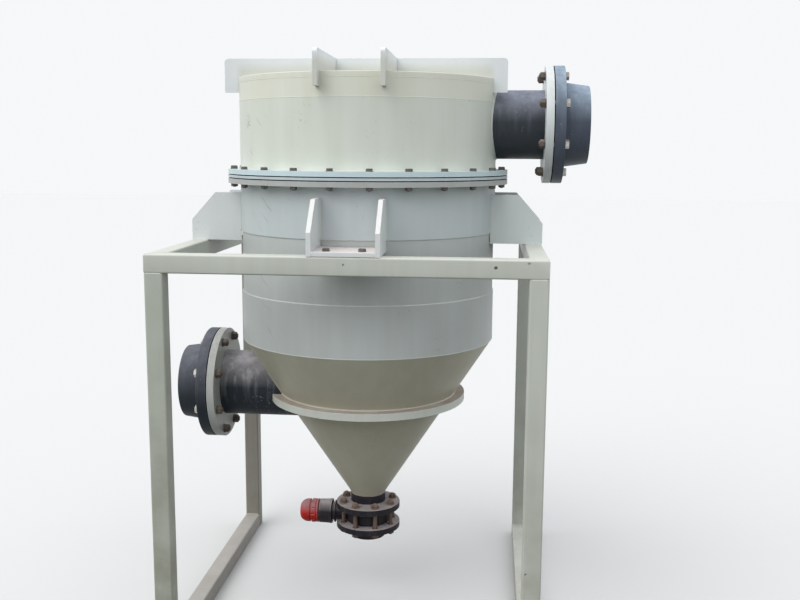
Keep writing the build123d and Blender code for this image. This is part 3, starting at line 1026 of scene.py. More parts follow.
# %% Valve body
body_lo, body_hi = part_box("valve_body")
valve_mid = (body_lo.z + body_hi.z) / 2
bonnet_radius = (body_hi.z - body_lo.z) / 2
bonnet_start = valve_flange_radius + 3 * MM
bonnet_end = -body_lo.x
wafer_radius = body_hi.x
wafer_edge = wafer_radius - 4 * MM
wafer_outline = [
    (valve_bore, lower_joint),
    (wafer_edge, lower_joint),
    (wafer_radius, lower_joint + 5 * MM),
    (wafer_radius, upper_joint - 5 * MM),
    (wafer_edge, upper_joint),
    (valve_bore, upper_joint),
]
wafer = turn("wafer", wafer_outline, small_steps)

stem_hole, neck_radius = 7.2 * MM, 22 * MM
neck_start = wafer_radius - 12 * MM
bonnet_steps = ((4, 0), (4, 3), (12, 4), (12, 10), (0, 11), (0, 18), (1, 19))
bonnet_outline = [
    (stem_hole, -neck_start),
    (neck_radius, -neck_start),
    (neck_radius, -bonnet_start),
    *[(bonnet_radius - inset * MM, -bonnet_start - along * MM) for inset, along in bonnet_steps],
    (bonnet_radius - 2 * MM, -bonnet_end + 2 * MM),
    (bonnet_radius - 6 * MM, -bonnet_end),
    (stem_hole, -bonnet_end),
]
bonnet = turn("bonnet", bonnet_outline, small_steps, "X", valve_mid)

web_thick, web_spread = 7 * MM, 12 * MM
castings = [wafer, bonnet]
for side in (-1, 1):
    web_outline = [
        (-bonnet_start, valve_mid),
        (-wafer_edge, valve_mid),
        (-wafer_edge, valve_mid + side * 20 * MM),
        (-bonnet_start, valve_mid + side * 21 * MM),
    ]
    castings.append(plate("web", web_outline, "Y", side * web_spread, web_thick))
for part in castings:
    soften(part, 1.0 * MM)
valve_body = join("valve_body_casting", castings)
print("bonnet from", round(bonnet_start / MM, 1), "to", round(bonnet_end / MM, 1), "mm")

# %% [markdown]
# ## The valve's cap
# The cap is turned in one piece, with a shallow dimple at its tip, a domed end and two grooves
# round it. The dome is a quarter of an ellipse in nine points. Twelve flutes are cut afterwards by
# a ring of bars, as a mill would do it.

# %% Valve cap
cap_lo, cap_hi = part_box("valve_cap")
cap_radius = 37 * MM
cap_length = cap_hi.x - cap_lo.x
flutes, flute_radius = 12, 4.6 * MM
stem_floor = cap_hi.x - 40 * MM
crown_flat, crown_wide, crown_long = 17 * MM, 19 * MM, 26 * MM
crown = []
for angle in [radians(11.25 * i) for i in range(9)]:
    crown.append((crown_flat + crown_wide * sin(angle), cap_lo.x + crown_long * (1 - cos(angle))))
first_groove = ((0.7, 31), (4.5, 32.5), (4.5, 36), (0, 37.5))
last_groove = ((0, 9), (2.5, 8), (2.5, 5), (0, 4), (0, 1.5), (1.5, 0))
cap_outline = [
    (0, cap_lo.x + 2.5 * MM),
    (11 * MM, cap_lo.x + 2.5 * MM),
    (13 * MM, cap_lo.x),
    *crown,
    *[(cap_radius - inset * MM, cap_lo.x + along * MM) for inset, along in first_groove],
    *[(cap_radius - inset * MM, cap_hi.x - along * MM) for inset, along in last_groove],
    (stem_hole, cap_hi.x),
    (stem_hole, stem_floor),
    (0, stem_floor),
]
cap = turn("cap_fluted", cap_outline, small_steps, "X", valve_mid, closed=False)
cutters = []
for y, z in circle_spots(flutes, cap_radius + 3 * MM, 0):
    start, end = (cap_lo.x - MM, y, valve_mid + z), (cap_hi.x - 10 * MM, y, valve_mid + z)
    cutters.append(round_bar("bar", flute_radius, start, end, 16))
cut(cap, join("cutter", cutters))
soften(cap, 0.8 * MM)
print("cap", round(cap_length / MM, 1), "mm long with", flutes, "flutes")

# %% [markdown]
# ## Node helpers
# The next cells build the finishes. A material is a tree of small nodes, and wiring them one by
# one takes many lines, so helpers keep it short: `add` makes a node and sets or links its inputs
# by name, and the ones after it each make one common node.


# %% Node helpers
def feed(tree, socket, value):
    """Links a socket to another node's output, or sets its plain value."""
    if isinstance(value, bpy.types.NodeSocket):
        tree.links.new(value, socket)
    else:
        socket.default_value = value


def add(tree, kind, settings=None, **inputs):
    """Adds a shader node, sets its own settings, and sets or links its inputs."""
    node = tree.nodes.new("ShaderNode" + kind)
    for key, value in (settings or {}).items():
        setattr(node, key, value)
    for key, value in inputs.items():
        feed(tree, node.inputs[key.replace("_", " ")], value)
    return node


def maths(tree, operation, a, b=0.0, clamp=False):
    """One sum of two numbers, and its result."""
    node = add(tree, "Math", {"operation": operation, "use_clamp": clamp})
    feed(tree, node.inputs[0], a)
    feed(tree, node.inputs[1], b)
    return node.outputs[0]


def times(tree, a, b, clamp=False):
    """The product of two numbers."""
    return maths(tree, "MULTIPLY", a, b, clamp)


def vector_maths(tree, operation, a, b):
    """One sum of two vectors, and its outputs."""
    node = add(tree, "VectorMath", {"operation": operation})
    feed(tree, node.inputs[0], a)
    feed(tree, node.inputs[1], b)
    return node.outputs


def blend(tree, factor, a, b):
    """Mixes two colours."""
    node = add(tree, "Mix", {"data_type": "RGBA"})
    for index, value in ((0, factor), (6, a), (7, b)):
        feed(tree, node.inputs[index], value)
    return node.outputs[2]


def stretch(tree, vector, size):
    """Scales a coordinate by a different amount on each axis."""
    return vector_maths(tree, "MULTIPLY", vector, size)["Vector"]


def noise(tree, vector, scale, detail, rough=0.55):
    """A soft noise between 0 and 1."""
    node = add(tree, "TexNoise", Vector=vector, Scale=scale, Detail=detail, Roughness=rough)
    return node.outputs[0]


def remap(tree, value, low_in, high_in, low_out=0.0, high_out=1.0):
    """Stretches a value from one range to another, held within it."""
    node = add(tree, "MapRange", Value=value)
    for index, number in enumerate((low_in, high_in, low_out, high_out)):
        feed(tree, node.inputs[index + 1], number)
    return node.outputs[0]


# %% [markdown]
# ## Helpers for shared effects
# An effect that many surfaces show is a node group with named inputs and one output, made once and
# placed in each material with its own values. `group` makes its sockets first, because nothing can
# be linked to them before. `answer` links the result, and `place` puts the group in a material.

# %% Group helpers
FLOAT, COLOUR, VECTOR = "NodeSocketFloat", "NodeSocketColor", "NodeSocketVector"


def group(name, inputs, output="Mask", kind=FLOAT):
    """Starts a node group, and gives it back with its inputs and the place on the object."""
    tree = bpy.data.node_groups.new(name, "ShaderNodeTree")
    for label, input_kind, value in inputs:
        socket = tree.interface.new_socket(name=label, in_out="INPUT", socket_type=input_kind)
        socket.default_value = value
    tree.interface.new_socket(name=output, in_out="OUTPUT", socket_type=kind)
    given = tree.nodes.new("NodeGroupInput").outputs
    tree.nodes.new("NodeGroupOutput")
    return tree, given, add(tree, "TexCoord").outputs["Object"]


def answer(tree, value):
    """Links what the group has worked out to its output."""
    tree.links.new(value, tree.nodes["Group Output"].inputs[0])
    print("effect", tree.name, "has", len(tree.nodes), "nodes")


def place(tree, shared, **inputs):
    """Places a group in a material."""
    return add(tree, "Group", {"node_tree": shared}, **inputs).outputs


# %% [markdown]
# ## Cloudy tint
# Old sheet and paint are never one colour. Two noises are mixed, a wide one and one that is drawn
# out upwards, because rain runs down, and the result blends between two close colours.

# %% Cloudy tint
cloudy, given, spot = group(
    "cloudy_tint",
    [("Colour", COLOUR, (1, 1, 1, 1)), ("Other", COLOUR, (1, 1, 1, 1)), ("Scale", FLOAT, 3.0)],
    "Colour",
    COLOUR,
)
wide = noise(cloudy, spot, given["Scale"], 4.0)
runs = noise(cloudy, stretch(cloudy, spot, (9.0, 9.0, 0.9)), given["Scale"], 2.0)
both = maths(cloudy, "ADD", times(cloudy, wide, 0.6), times(cloudy, runs, 0.4))
cloud = remap(cloudy, both, 0.36, 0.64)
answer(cloudy, blend(cloudy, cloud, given["Colour"], given["Other"]))

# %% [markdown]
# ## Settled dust and painted light
# Dust lies where a face looks up, so the mask starts from the height of the normal. A patchy noise
# breaks it up, and a noise that is drawn out upright adds thin runs down the sides. On the dark
# ducts and the valve its colour is also painted light: a painted sky reflection on the ducts' upper
# faces and a painted lit top on the valve.

# %% Settled dust and painted light
dust_inputs = [
    ("Amount", FLOAT, 0.7),
    ("Streaks", FLOAT, 0.4),
    ("Scale", FLOAT, 14.0),
    ("From", FLOAT, -0.1),
    ("Full", FLOAT, 0.95),
]
dusty, given, spot = group("settled_dust", dust_inputs)
facing = add(dusty, "NewGeometry").outputs["Normal"]
up = add(dusty, "SeparateXYZ", Vector=facing).outputs["Z"]
patchy = noise(dusty, spot, given["Scale"], 5.0, 0.65)
level_enough = remap(dusty, up, given["From"], given["Full"])
lying = times(dusty, level_enough, remap(dusty, patchy, 0.25, 0.6, 0.45, 1.0))
thin = noise(dusty, stretch(dusty, spot, (1.0, 1.0, 0.06)), 55.0, 3.0)
running = times(dusty, remap(dusty, thin, 0.5, 0.72), remap(dusty, up, -0.6, 0.5))
running = times(dusty, running, given["Streaks"])
lying = times(dusty, lying, given["Amount"])
answer(dusty, maths(dusty, "ADD", lying, running, clamp=True))

# %% [markdown]
# ## Worn edge and edge highlight
# Handling rubs an edge bare first, and an edge also catches the light. The edge colour is wear on
# most finishes and a painted highlight on the ribs and brackets. The Bevel node gives the normal
# that a rounded edge would have, and where that differs from the true one there is an edge. A
# noise breaks the line, because an even one would look drawn.

# %% Worn edge and edge highlight
edge_wear_and_highlight, given, spot = group("worn_edge_and_highlight", [("Radius", FLOAT, 0.003), ("Scale", FLOAT, 60.0)])
rounded = add(edge_wear_and_highlight, "Bevel", {"samples": 4}, Radius=given["Radius"]).outputs[0]
true_normal = add(edge_wear_and_highlight, "NewGeometry").outputs["Normal"]
agree = vector_maths(edge_wear_and_highlight, "DOT_PRODUCT", rounded, true_normal)["Value"]
edge = remap(edge_wear_and_highlight, agree, 0.995, 0.9)
broken = remap(edge_wear_and_highlight, noise(edge_wear_and_highlight, spot, given["Scale"], 4.0, 0.7), 0.42, 0.62)
answer(edge_wear_and_highlight, times(edge_wear_and_highlight, edge, broken))

# %% [markdown]
# ## Scuffs
# Tools and handling leave thin slanting marks. A noise that is drawn out hard one way gives
# hairs, and a wide one lets them show in some areas only.

# %% Scuffs
scuffed, given, spot = group("scuffs", [("Scale", FLOAT, 1.0), ("Amount", FLOAT, 0.5)])
slanted = add(scuffed, "VectorRotate", Vector=spot, Axis=(1, 1, 0), Angle=0.9).outputs[0]
hair = noise(scuffed, stretch(scuffed, slanted, (150.0, 150.0, 7.0)), given["Scale"], 1.0)
areas = noise(scuffed, spot, times(scuffed, given["Scale"], 6.0), 2.0)
lines = times(scuffed, remap(scuffed, hair, 0.66, 0.74), remap(scuffed, areas, 0.52, 0.64))
answer(scuffed, times(scuffed, lines, given["Amount"], clamp=True))

# %% [markdown]
# ## Chips in the paint
# Paint flakes off in small spots with ragged rims. Voronoi cells give one spot each, their random
# colour chooses which ones are there, and a fine noise makes the rim ragged.

# %% Chips
chip_inputs = [("Scale", FLOAT, 11.0), ("Size", FLOAT, 0.05), ("Share", FLOAT, 0.3)]
chipped, given, spot = group("paint_chips", chip_inputs)
ragged = noise(chipped, spot, 320.0, 2.0)
cells = add(chipped, "TexVoronoi", Vector=spot, Scale=given["Scale"])
chance = add(chipped, "SeparateColor", Color=cells.outputs["Color"]).outputs[0]
chosen = maths(chipped, "LESS_THAN", chance, given["Share"])
edge_of_chip = times(chipped, given["Size"], maths(chipped, "ADD", ragged, 0.5))
inside_chip = maths(chipped, "LESS_THAN", cells.outputs["Distance"], edge_of_chip)
answer(chipped, times(chipped, chosen, inside_chip))

# %% [markdown]
# ## Ground splash and shade
# Rain throws dirt up at whatever stands on the ground. On the stand's left paints the same mask,
# reaching higher, is painted shade. The mask fades with the height and is broken into blotches.

# %% Ground splash and shade
splashed, given, spot = group("ground_splash", [("Height", FLOAT, 0.7), ("Amount", FLOAT, 0.5)])
height = add(splashed, "SeparateXYZ", Vector=spot).outputs["Z"]
nearness = remap(splashed, maths(splashed, "DIVIDE", height, given["Height"]), 1.0, 0.0)
blotches = remap(splashed, noise(splashed, spot, 9.0, 5.0, 0.6), 0.35, 0.65, 0.3, 1.0)
splash_and_shade_mask = times(splashed, times(splashed, nearness, blotches), given["Amount"])
answer(splashed, splash_and_shade_mask)

# %% [markdown]
# ## Rubbed spot
# Some marks sit at one place only. The distance from a centre gives a soft disc, and a crumbly
# noise eats into it.

# %% Rubbed spot
rubbed_inputs = [("Centre", VECTOR, (0, 0, 0)), ("Size", FLOAT, 0.02)]
rubbed_spot, given, spot = group("rubbed_spot", rubbed_inputs)
away = vector_maths(rubbed_spot, "DISTANCE", spot, given["Centre"])["Value"]
crumbs = noise(rubbed_spot, spot, 160.0, 4.0, 0.7)
near = remap(rubbed_spot, maths(rubbed_spot, "DIVIDE", away, given["Size"]), 1.0, 0.3)
broken = remap(rubbed_spot, crumbs, 0.5, 0.62)
answer(rubbed_spot, times(rubbed_spot, near, broken))

# %% [markdown]
# ## Shaded foot
# Where a rib stands on a plate, its foot is painted darker, as painted shade in the corner between
# them, and this also hides the sharp line there. The mask fades with the height and ends at the
# plate's left and right edge, so the hooks beyond it stay unshaded.

# %% Shaded foot
foot_inputs = [("Low", FLOAT, 0.0), ("High", FLOAT, 0.1), ("Reach", FLOAT, 1.0)]
foot_shade, given, spot = group("painted_foot_shade", foot_inputs)
parts = add(foot_shade, "SeparateXYZ", Vector=spot).outputs
low_down = remap(foot_shade, parts["Z"], given["Low"], given["High"], 1.0, 0.0)
aside = maths(foot_shade, "DIVIDE", maths(foot_shade, "ABSOLUTE", parts["X"]), given["Reach"])
within = remap(foot_shade, aside, 1.0, 0.95)
answer(foot_shade, times(foot_shade, low_down, within))

# %% [markdown]
# ## Fine grain
# No real surface is quite flat. A fine noise and a slow one are added and feed the bump, which
# breaks up a highlight.

# %% Fine grain
grainy, given, spot = group("fine_grain", [("Scale", FLOAT, 400.0), ("Waves", FLOAT, 12.0)], "Height")
fine = noise(grainy, spot, given["Scale"], 2.0)
slow = noise(grainy, spot, given["Waves"], 2.0)
answer(grainy, maths(grainy, "ADD", times(grainy, fine, 0.15), slow))

# %% [markdown]
# ## Finishes
# Every finish is the same chain with other values: a cloudy tint, lighter edges, then the marks
# and chips that a surface has, dust and dirt on top, and a grain that feeds the bump. On some
# finishes the edges, the dust and the dirt also carry painted light and shade. Dust also makes a
# surface dull. The shader's own sockets hold the values that are the same all over.


# %% Finish builder
plain_wear = {
    "edge": None,
    "dust": (0.50, 0.50, 0.46),
    "amount": 0.3,
    "streaks": 0.12,
    "dust_scale": 14.0,
    "dust_from": -0.1,
    "dust_full": 0.95,
    "scuffs": 0.0,
    "scuff_colour": (0.20, 0.20, 0.18),
    "chips": 0.0,
    "splash": 0.0,
    "splash_height": 0.8,
    "spots": (),
    "foot": None,
    "cloud_scale": 3.0,
    "bump": 0.25,
    "specular": 0.35,
    "metallic": 0.0,
}
chip_colour = (0.10, 0.075, 0.055, 1)
splash_colour = (0.16, 0.15, 0.10, 1)


def finish(name, colour, other, rough=0.42, **changes):
    """A weathered surface with painted light and shade: its two colours, its roughness, and what differs from
    plain wear.
    """
    wear_and_light = {**plain_wear, **changes}
    material = bpy.data.materials.new(name)
    material.use_nodes = True
    tree = material.node_tree
    shader = tree.nodes["Principled BSDF"]
    tints = {"Colour": (*colour, 1), "Other": (*other, 1)}
    base = place(tree, cloudy, Scale=wear_and_light["cloud_scale"], **tints)["Colour"]
    # The edge colour is wear on most finishes and a painted highlight on the ribs and brackets.
    if wear_and_light["edge"]:
        edge_mask = place(tree, edge_wear_and_highlight, Radius=3 * MM)["Mask"]
        base = blend(tree, edge_mask, base, (*wear_and_light["edge"], 1))
    if wear_and_light["scuffs"]:
        marks = place(tree, scuffed, Amount=wear_and_light["scuffs"])["Mask"]
        base = blend(tree, marks, base, (*wear_and_light["scuff_colour"], 1))
    for centre, size in wear_and_light["spots"]:
        mark = place(tree, rubbed_spot, Centre=centre, Size=size)["Mask"]
        base = blend(tree, mark, base, (*wear_and_light["scuff_colour"], 1))
    # The foot mask paints shade where a rib stands on the lid.
    if wear_and_light["foot"]:
        bottom, top, reach, shade_colour = wear_and_light["foot"]
        foot_shade_mask = place(tree, foot_shade, Low=bottom, High=top, Reach=reach)["Mask"]
        base = blend(tree, foot_shade_mask, base, (*shade_colour, 1))
    if wear_and_light["chips"]:
        flaked = place(tree, chipped, Share=wear_and_light["chips"])["Mask"]
        base = blend(tree, flaked, base, chip_colour)
    # The dust mask also carries painted light on the dark plastics: sky reflection, lit tops and shade.
    lying = {"Amount": wear_and_light["amount"], "From": wear_and_light["dust_from"], "Full": wear_and_light["dust_full"]}
    running = {"Streaks": wear_and_light["streaks"], "Scale": wear_and_light["dust_scale"]}
    dust_mask = place(tree, dusty, **lying, **running)["Mask"]
    base = blend(tree, dust_mask, base, (*wear_and_light["dust"], 1))
    # On the stand's left paints this mask is painted shade, and on the others dirt.
    if wear_and_light["splash"]:
        splash_and_shade_mask = place(tree, splashed, Amount=wear_and_light["splash"], Height=wear_and_light["splash_height"])["Mask"]
        base = blend(tree, splash_and_shade_mask, base, splash_colour)
    tree.links.new(base, shader.inputs["Base Color"])
    dull = remap(tree, dust_mask, 0.0, 1.0, rough, min(1.0, rough + 0.35))
    tree.links.new(dull, shader.inputs["Roughness"])
    grain = place(tree, grainy)["Height"]
    bumped = add(tree, "Bump", Strength=wear_and_light["bump"], Distance=0.6 * MM, Height=grain)
    tree.links.new(bumped.outputs[0], shader.inputs["Normal"])
    shader.inputs["Metallic"].default_value = wear_and_light["metallic"]
    shader.inputs["Specular IOR Level"].default_value = wear_and_light["specular"]
    return material


# %% [markdown]
# ## The pale plastics
# The vessel is of one natural colour. The drum's top band is cream, partly its own tone and partly
# painted light glowing through the thin sheet. The bands below the joint are painted greyer as shade
# under the flange, and the upper one bluer where the sky lights that shade. The cone is a darker and
# warmer grey, partly its own tone and partly painted shade lit from the ground. So each part gets
# its own two colours, and wear that parts have in common stands in one dictionary.

# %% Pale plastic finishes
rubbed_mark = ((-0.312, -0.2185, 1.475), 0.026)
drum_dust = (0.66, 0.64, 0.58)
drum_plastic = finish(
    "drum_plastic", (0.68, 0.715, 0.645), (0.62, 0.65, 0.57),
    edge=(0.80, 0.82, 0.78), scuffs=0.45, dust=drum_dust, spots=[rubbed_mark],
)
# The cream of the drum's top band is partly the sheet's own tone and partly painted light glowing through the
# thin sheet; the lid takes the same colours.
cream, cream_shade, cream_edge = (0.73, 0.745, 0.655), (0.68, 0.695, 0.585), (0.76, 0.775, 0.70)
drum_top_plastic = finish("drum_top_plastic", cream, cream_shade, edge=cream_edge, dust=drum_dust)
lid_plastic = finish(
    "lid_plastic", cream, cream_shade,
    edge=cream_edge, dust=(0.38, 0.36, 0.30), amount=0.8, dust_from=0.6,
)
# The white edge of the ribs and brackets is a painted highlight, where their edges catch the light.
white_edge_highlight = (0.90, 0.92, 0.92)
# The ribs' feet are painted darker towards the lid, as painted shade in the corner.
foot_low, foot_high, foot_shade_colour = rib_hi.z - 36 * MM, rib_hi.z - 12 * MM, (0.60, 0.615, 0.56)
white_plastic = finish(
    "white_plastic", (0.73, 0.76, 0.775), (0.695, 0.725, 0.735),
    edge=white_edge_highlight, scuffs=0.3, dust=(0.80, 0.73, 0.71), amount=0.5, dust_from=0.4,
    foot=(foot_low, foot_high, lid_reach, foot_shade_colour),
)
bracket_wear = {"scuffs": 0.3, "dust": (0.66, 0.54, 0.52), "amount": 0.75, "dust_from": 0.5}
bracket_plastic = finish(
    "bracket_plastic", (0.70, 0.73, 0.73), (0.665, 0.695, 0.69), edge=white_edge_highlight, **bracket_wear
)
# The right bracket is painted darker all over, as painted shade.
shaded_bracket_plastic = finish(
    "shaded_bracket_plastic", (0.61, 0.66, 0.65), (0.575, 0.625, 0.61), edge=white_edge_highlight, **bracket_wear
)
upper_flange_plastic = finish(
    "upper_flange_plastic", (0.58, 0.71, 0.74), (0.54, 0.66, 0.69),
    edge=(0.80, 0.86, 0.87), dust=(0.72, 0.70, 0.66), dust_from=0.4,
)
band_wear = {"edge": (0.64, 0.68, 0.68), "scuffs": 0.4, "dust": (0.60, 0.56, 0.53)}
# The bands below the joint are painted greyer as shade under the flange; the upper one is also bluer, painted
# sky light in that shade.
upper_band_plastic = finish("upper_band_plastic", (0.53, 0.59, 0.595), (0.49, 0.535, 0.54), **band_wear)
body_plastic = finish("body_plastic", (0.485, 0.52, 0.51), (0.435, 0.465, 0.45), amount=0.4, **band_wear)
# The cone's darker, warmer grey is partly its own tone and partly painted shade lit from the ground.
hopper_plastic = finish(
    "hopper_plastic", (0.525, 0.505, 0.41), (0.47, 0.45, 0.355),
    edge=(0.66, 0.66, 0.62), scuffs=0.3, dust=(0.60, 0.55, 0.52), amount=0.5, streaks=0.15,
)
rim_plastic = finish(
    "rim_plastic", (0.60, 0.625, 0.575), (0.55, 0.57, 0.51),
    edge=(0.86, 0.86, 0.84), dust=(0.37, 0.30, 0.26), amount=0.9, dust_from=0.3,
)
joint_plastic = finish(
    "joint_plastic", (0.42, 0.44, 0.43), (0.37, 0.39, 0.375),
    edge=(0.60, 0.62, 0.60), dust=(0.50, 0.47, 0.42), amount=0.4,
)
ring_plastic = finish(
    "ring_plastic", (0.66, 0.70, 0.71), (0.58, 0.61, 0.61),
    edge=(0.84, 0.86, 0.86), dust=(0.45, 0.42, 0.37), streaks=0.25,
)
# The inlet's loose ring is painted darker and browner than the outlet's, as painted shade.
shaded_ring_plastic = finish(
    "shaded_ring_plastic", (0.47, 0.49, 0.475), (0.38, 0.39, 0.37),
    edge=(0.70, 0.71, 0.69), dust=(0.30, 0.27, 0.24), streaks=0.4,
)
weld_plastic = finish("weld_plastic", (0.60, 0.63, 0.60), (0.54, 0.565, 0.53), 0.45, bump=0.15)
sheet_plastic = finish("sheet_plastic", (0.52, 0.60, 0.62), (0.45, 0.52, 0.55), 0.4)
print("pale finishes done, materials now", len(bpy.data.materials))

# %% [markdown]
# ## The dark plastics
# Ducts and valve are of a nearly black plastic that dust and scratches make lighter. Their upper
# faces also carry painted light: a painted blue sky reflection on the ducts and a painted lit top
# on the valve. The ducts share one dictionary of wear and sheen, and each piece changes a few of
# its values: the inlet's flange is dull and painted darker as shade under the vessel, its pipe has
# a lighter top that is partly dust and partly painted light, and the outlet's flange carries a
# strong painted sky reflection.

# %% Dark plastic finishes
seal_rubber = finish("seal_rubber", (0.03, 0.045, 0.075), (0.02, 0.025, 0.04), 0.75, amount=0.1)
# These dust settings also place the painted sky reflection on the ducts' upper faces.
duct_wear_and_sheen = {
    "edge": (0.13, 0.14, 0.17),
    "amount": 0.95,
    "streaks": 0.22,
    "dust_scale": 22.0,
    "dust_from": 0.05,
    "dust_full": 0.85,
    "scuffs": 0.8,
    "scuff_colour": (0.30, 0.31, 0.34),
    "specular": 0.25,
}
duct_black, duct_grey = (0.022, 0.028, 0.036), (0.034, 0.042, 0.052)
# The ducts' bluish top colour is partly dust and partly a painted reflection of the sky.
duct_plastic = finish("duct_plastic", duct_black, duct_grey, 0.45, dust=(0.22, 0.235, 0.29), **duct_wear_and_sheen)
# The inlet's flange has less shine, and its upper faces are painted darker as shade under the vessel.
dulled_and_shaded = {"dust": (0.14, 0.145, 0.17), "dust_from": -0.25, "specular": 0.12}
dull_shaded_duct_plastic = finish("dull_shaded_duct_plastic", duct_black, duct_grey, 0.5, **(duct_wear_and_sheen | dulled_and_shaded))
# The inlet pipe's lighter top is partly dust and partly painted light that lifts it out of the vessel's
# shade.
dusted_and_lit = {"dust": (0.40, 0.385, 0.405), "streaks": 0.5, "specular": 0.12}
dusty_duct_plastic = finish("dusty_duct_plastic", duct_black, duct_grey, 0.5, **(duct_wear_and_sheen | dusted_and_lit))
# The outlet's flange is painted lighter and bluer all over, with a bright bluish top: a painted sky
# reflection on black plastic.
sky_sheen = {"dust": (0.27, 0.34, 0.42), **duct_wear_and_sheen}
sky_sheen_duct_plastic = finish(
    "sky_sheen_duct_plastic", (0.055, 0.068, 0.096), (0.087, 0.105, 0.14), 0.45, **sky_sheen
)
# The valve's light grey upper faces are partly dust and partly painted light on its tops.
valve_plastic = finish(
    "valve_plastic", (0.012, 0.012, 0.017), (0.026, 0.022, 0.026), 0.5,
    edge=(0.16, 0.14, 0.15), dust=(0.375, 0.33, 0.33), amount=1.0, streaks=0.06,
    dust_scale=30.0, dust_from=0.25, dust_full=0.9, specular=0.15,
)
cap_plastic = finish(
    "cap_plastic", (0.51, 0.022, 0.012), (0.41, 0.014, 0.012), 0.45,
    edge=(0.58, 0.10, 0.08), dust=(0.37, 0.235, 0.25), amount=1.0, streaks=0.08,
    dust_from=0.0, dust_full=0.8, specular=0.2,
)
print("dark finishes done, materials now", len(bpy.data.materials))

# %% [markdown]
# ## Paint and steel
# The stand's paint is chipped, and dirty near the ground. Its left side is painted darker as
# shade, most of all low down, so both left legs and the left foot rail have paints of their own.
# The bolts run from bright to rusty.

# %% Steel and paint finishes
stand_paint = finish(
    "stand_paint", (0.54, 0.565, 0.515), (0.48, 0.50, 0.445), 0.36,
    edge=(0.76, 0.77, 0.74), chips=0.3, splash=0.5, dust=(0.60, 0.58, 0.52), streaks=0.15,
)
# The next three paints, for the left legs and the left foot rail, are painted shade: darker all over, and
# darker still near the ground.
shaded_stand_paint = finish(
    "shaded_stand_paint", (0.49, 0.52, 0.47), (0.43, 0.455, 0.395), 0.45,
    edge=(0.70, 0.71, 0.68), chips=0.3, splash=0.7, splash_height=1.2, dust=(0.50, 0.48, 0.42), streaks=0.25,
)
dusty_stand_paint = finish(
    "dusty_stand_paint", (0.38, 0.36, 0.34), (0.34, 0.32, 0.30), 0.45,
    edge=(0.66, 0.66, 0.63), chips=0.3, splash=0.3, dust=(0.41, 0.385, 0.365), streaks=0.2,
)
deep_shaded_stand_paint = finish(
    "deep_shaded_stand_paint", (0.32, 0.305, 0.28), (0.27, 0.255, 0.23), 0.5,
    edge=(0.55, 0.55, 0.50), chips=0.3, splash=0.6, splash_height=1.2, dust=(0.42, 0.40, 0.36), streaks=0.2,
)
bright_steel = finish(
    "bright_steel", (0.66, 0.66, 0.64), (0.36, 0.33, 0.29), 0.3,
    metallic=0.7, dust=(0.40, 0.37, 0.30), cloud_scale=30.0,
)
dark_steel = finish(
    "dark_steel", (0.15, 0.145, 0.135), (0.09, 0.08, 0.07), 0.5,
    metallic=0.4, dust=(0.30, 0.28, 0.25), cloud_scale=20.0,
)
rusted = {"metallic": 0.2, "amount": 0.6, "dust_from": 0.3, "cloud_scale": 20.0}
brown_steel = finish(
    "brown_steel", (0.075, 0.058, 0.048), (0.145, 0.118, 0.10), 0.7, dust=(0.30, 0.26, 0.23), **rusted
)
rusty_steel = finish(
    "rusty_steel", (0.095, 0.062, 0.046), (0.19, 0.135, 0.105), 0.7, dust=(0.36, 0.29, 0.24), **rusted
)
print("finishes", len(bpy.data.materials))

# %% [markdown]
# ## Dress the pieces
# Now each piece gets its finish, rides on its body and stands for its node of the frame. The cap
# rides on the valve's rotor with the disc, and everything else on the collector itself.


# %% Dress the stand
def dress(piece, material, slot, body="collector", nodes=()):
    """Finish, body and the nodes that the piece stands for. The slot is not used."""
    piece.data.materials.clear()
    piece.data.materials.append(material)
    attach(piece, body)
    if nodes:
        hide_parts(*nodes)


# The left legs and the left foot rail take the paints with painted shade.
tube_finish = {
    "leg_front_left": shaded_stand_paint,
    "leg_back_left": deep_shaded_stand_paint,
    "foot_rail_left": dusty_stand_paint,
}
for node, piece in stand_tubes.items():
    dress(piece, tube_finish.get(node, stand_paint), "stand_paint", nodes=[node])
dress(stand_welds, stand_paint, "stand_paint")
print("stand pieces dressed", len(stand_tubes) + 1)

# %% [markdown]
# ## Dress the vessel
# All these parts are welded from the same sheet, and the finishes tell how each has aged; some
# also carry painted light and shade. A dictionary names the parts that differ, and the others
# take the plain body plastic.

# %% Dress the vessel
vessel = bands | joint_flanges | ribs | brackets
vessel |= {"lid_plate": lid, "upper_hopper": upper_cone, "lower_hopper": lower_cone, "hopper_ring": stiffener}
vessel_finish = {node: white_plastic for node in ribs} | {node: bracket_plastic for node in brackets}
vessel_finish |= {
    "plenum_band_lower": drum_plastic,
    "plenum_band_upper": drum_top_plastic,
    "body_band_upper": upper_band_plastic,
    "body_flange": joint_plastic,
    "plenum_flange": upper_flange_plastic,
    "lid_plate": lid_plastic,
    "bracket_right": shaded_bracket_plastic,
    "upper_hopper": hopper_plastic,
    "lower_hopper": hopper_plastic,
    "hopper_ring": rim_plastic,
}
for node, piece in vessel.items():
    dress(piece, vessel_finish.get(node, body_plastic), "vessel_plastic", nodes=[node])
dress(plastic_beads, weld_plastic, "vessel_plastic")
dress(drum_beads, drum_top_plastic, "vessel_plastic")
dress(hopper_beads, hopper_plastic, "vessel_plastic")
print("vessel pieces dressed", len(vessel) + 3)

# %% [markdown]
# ## Dress the ducts and the valve
# Here finish and slot go in pairs, because a duct has a dark plastic and the pale plastic of its
# loose ring. The bolts stand for no node of the frame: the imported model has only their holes.

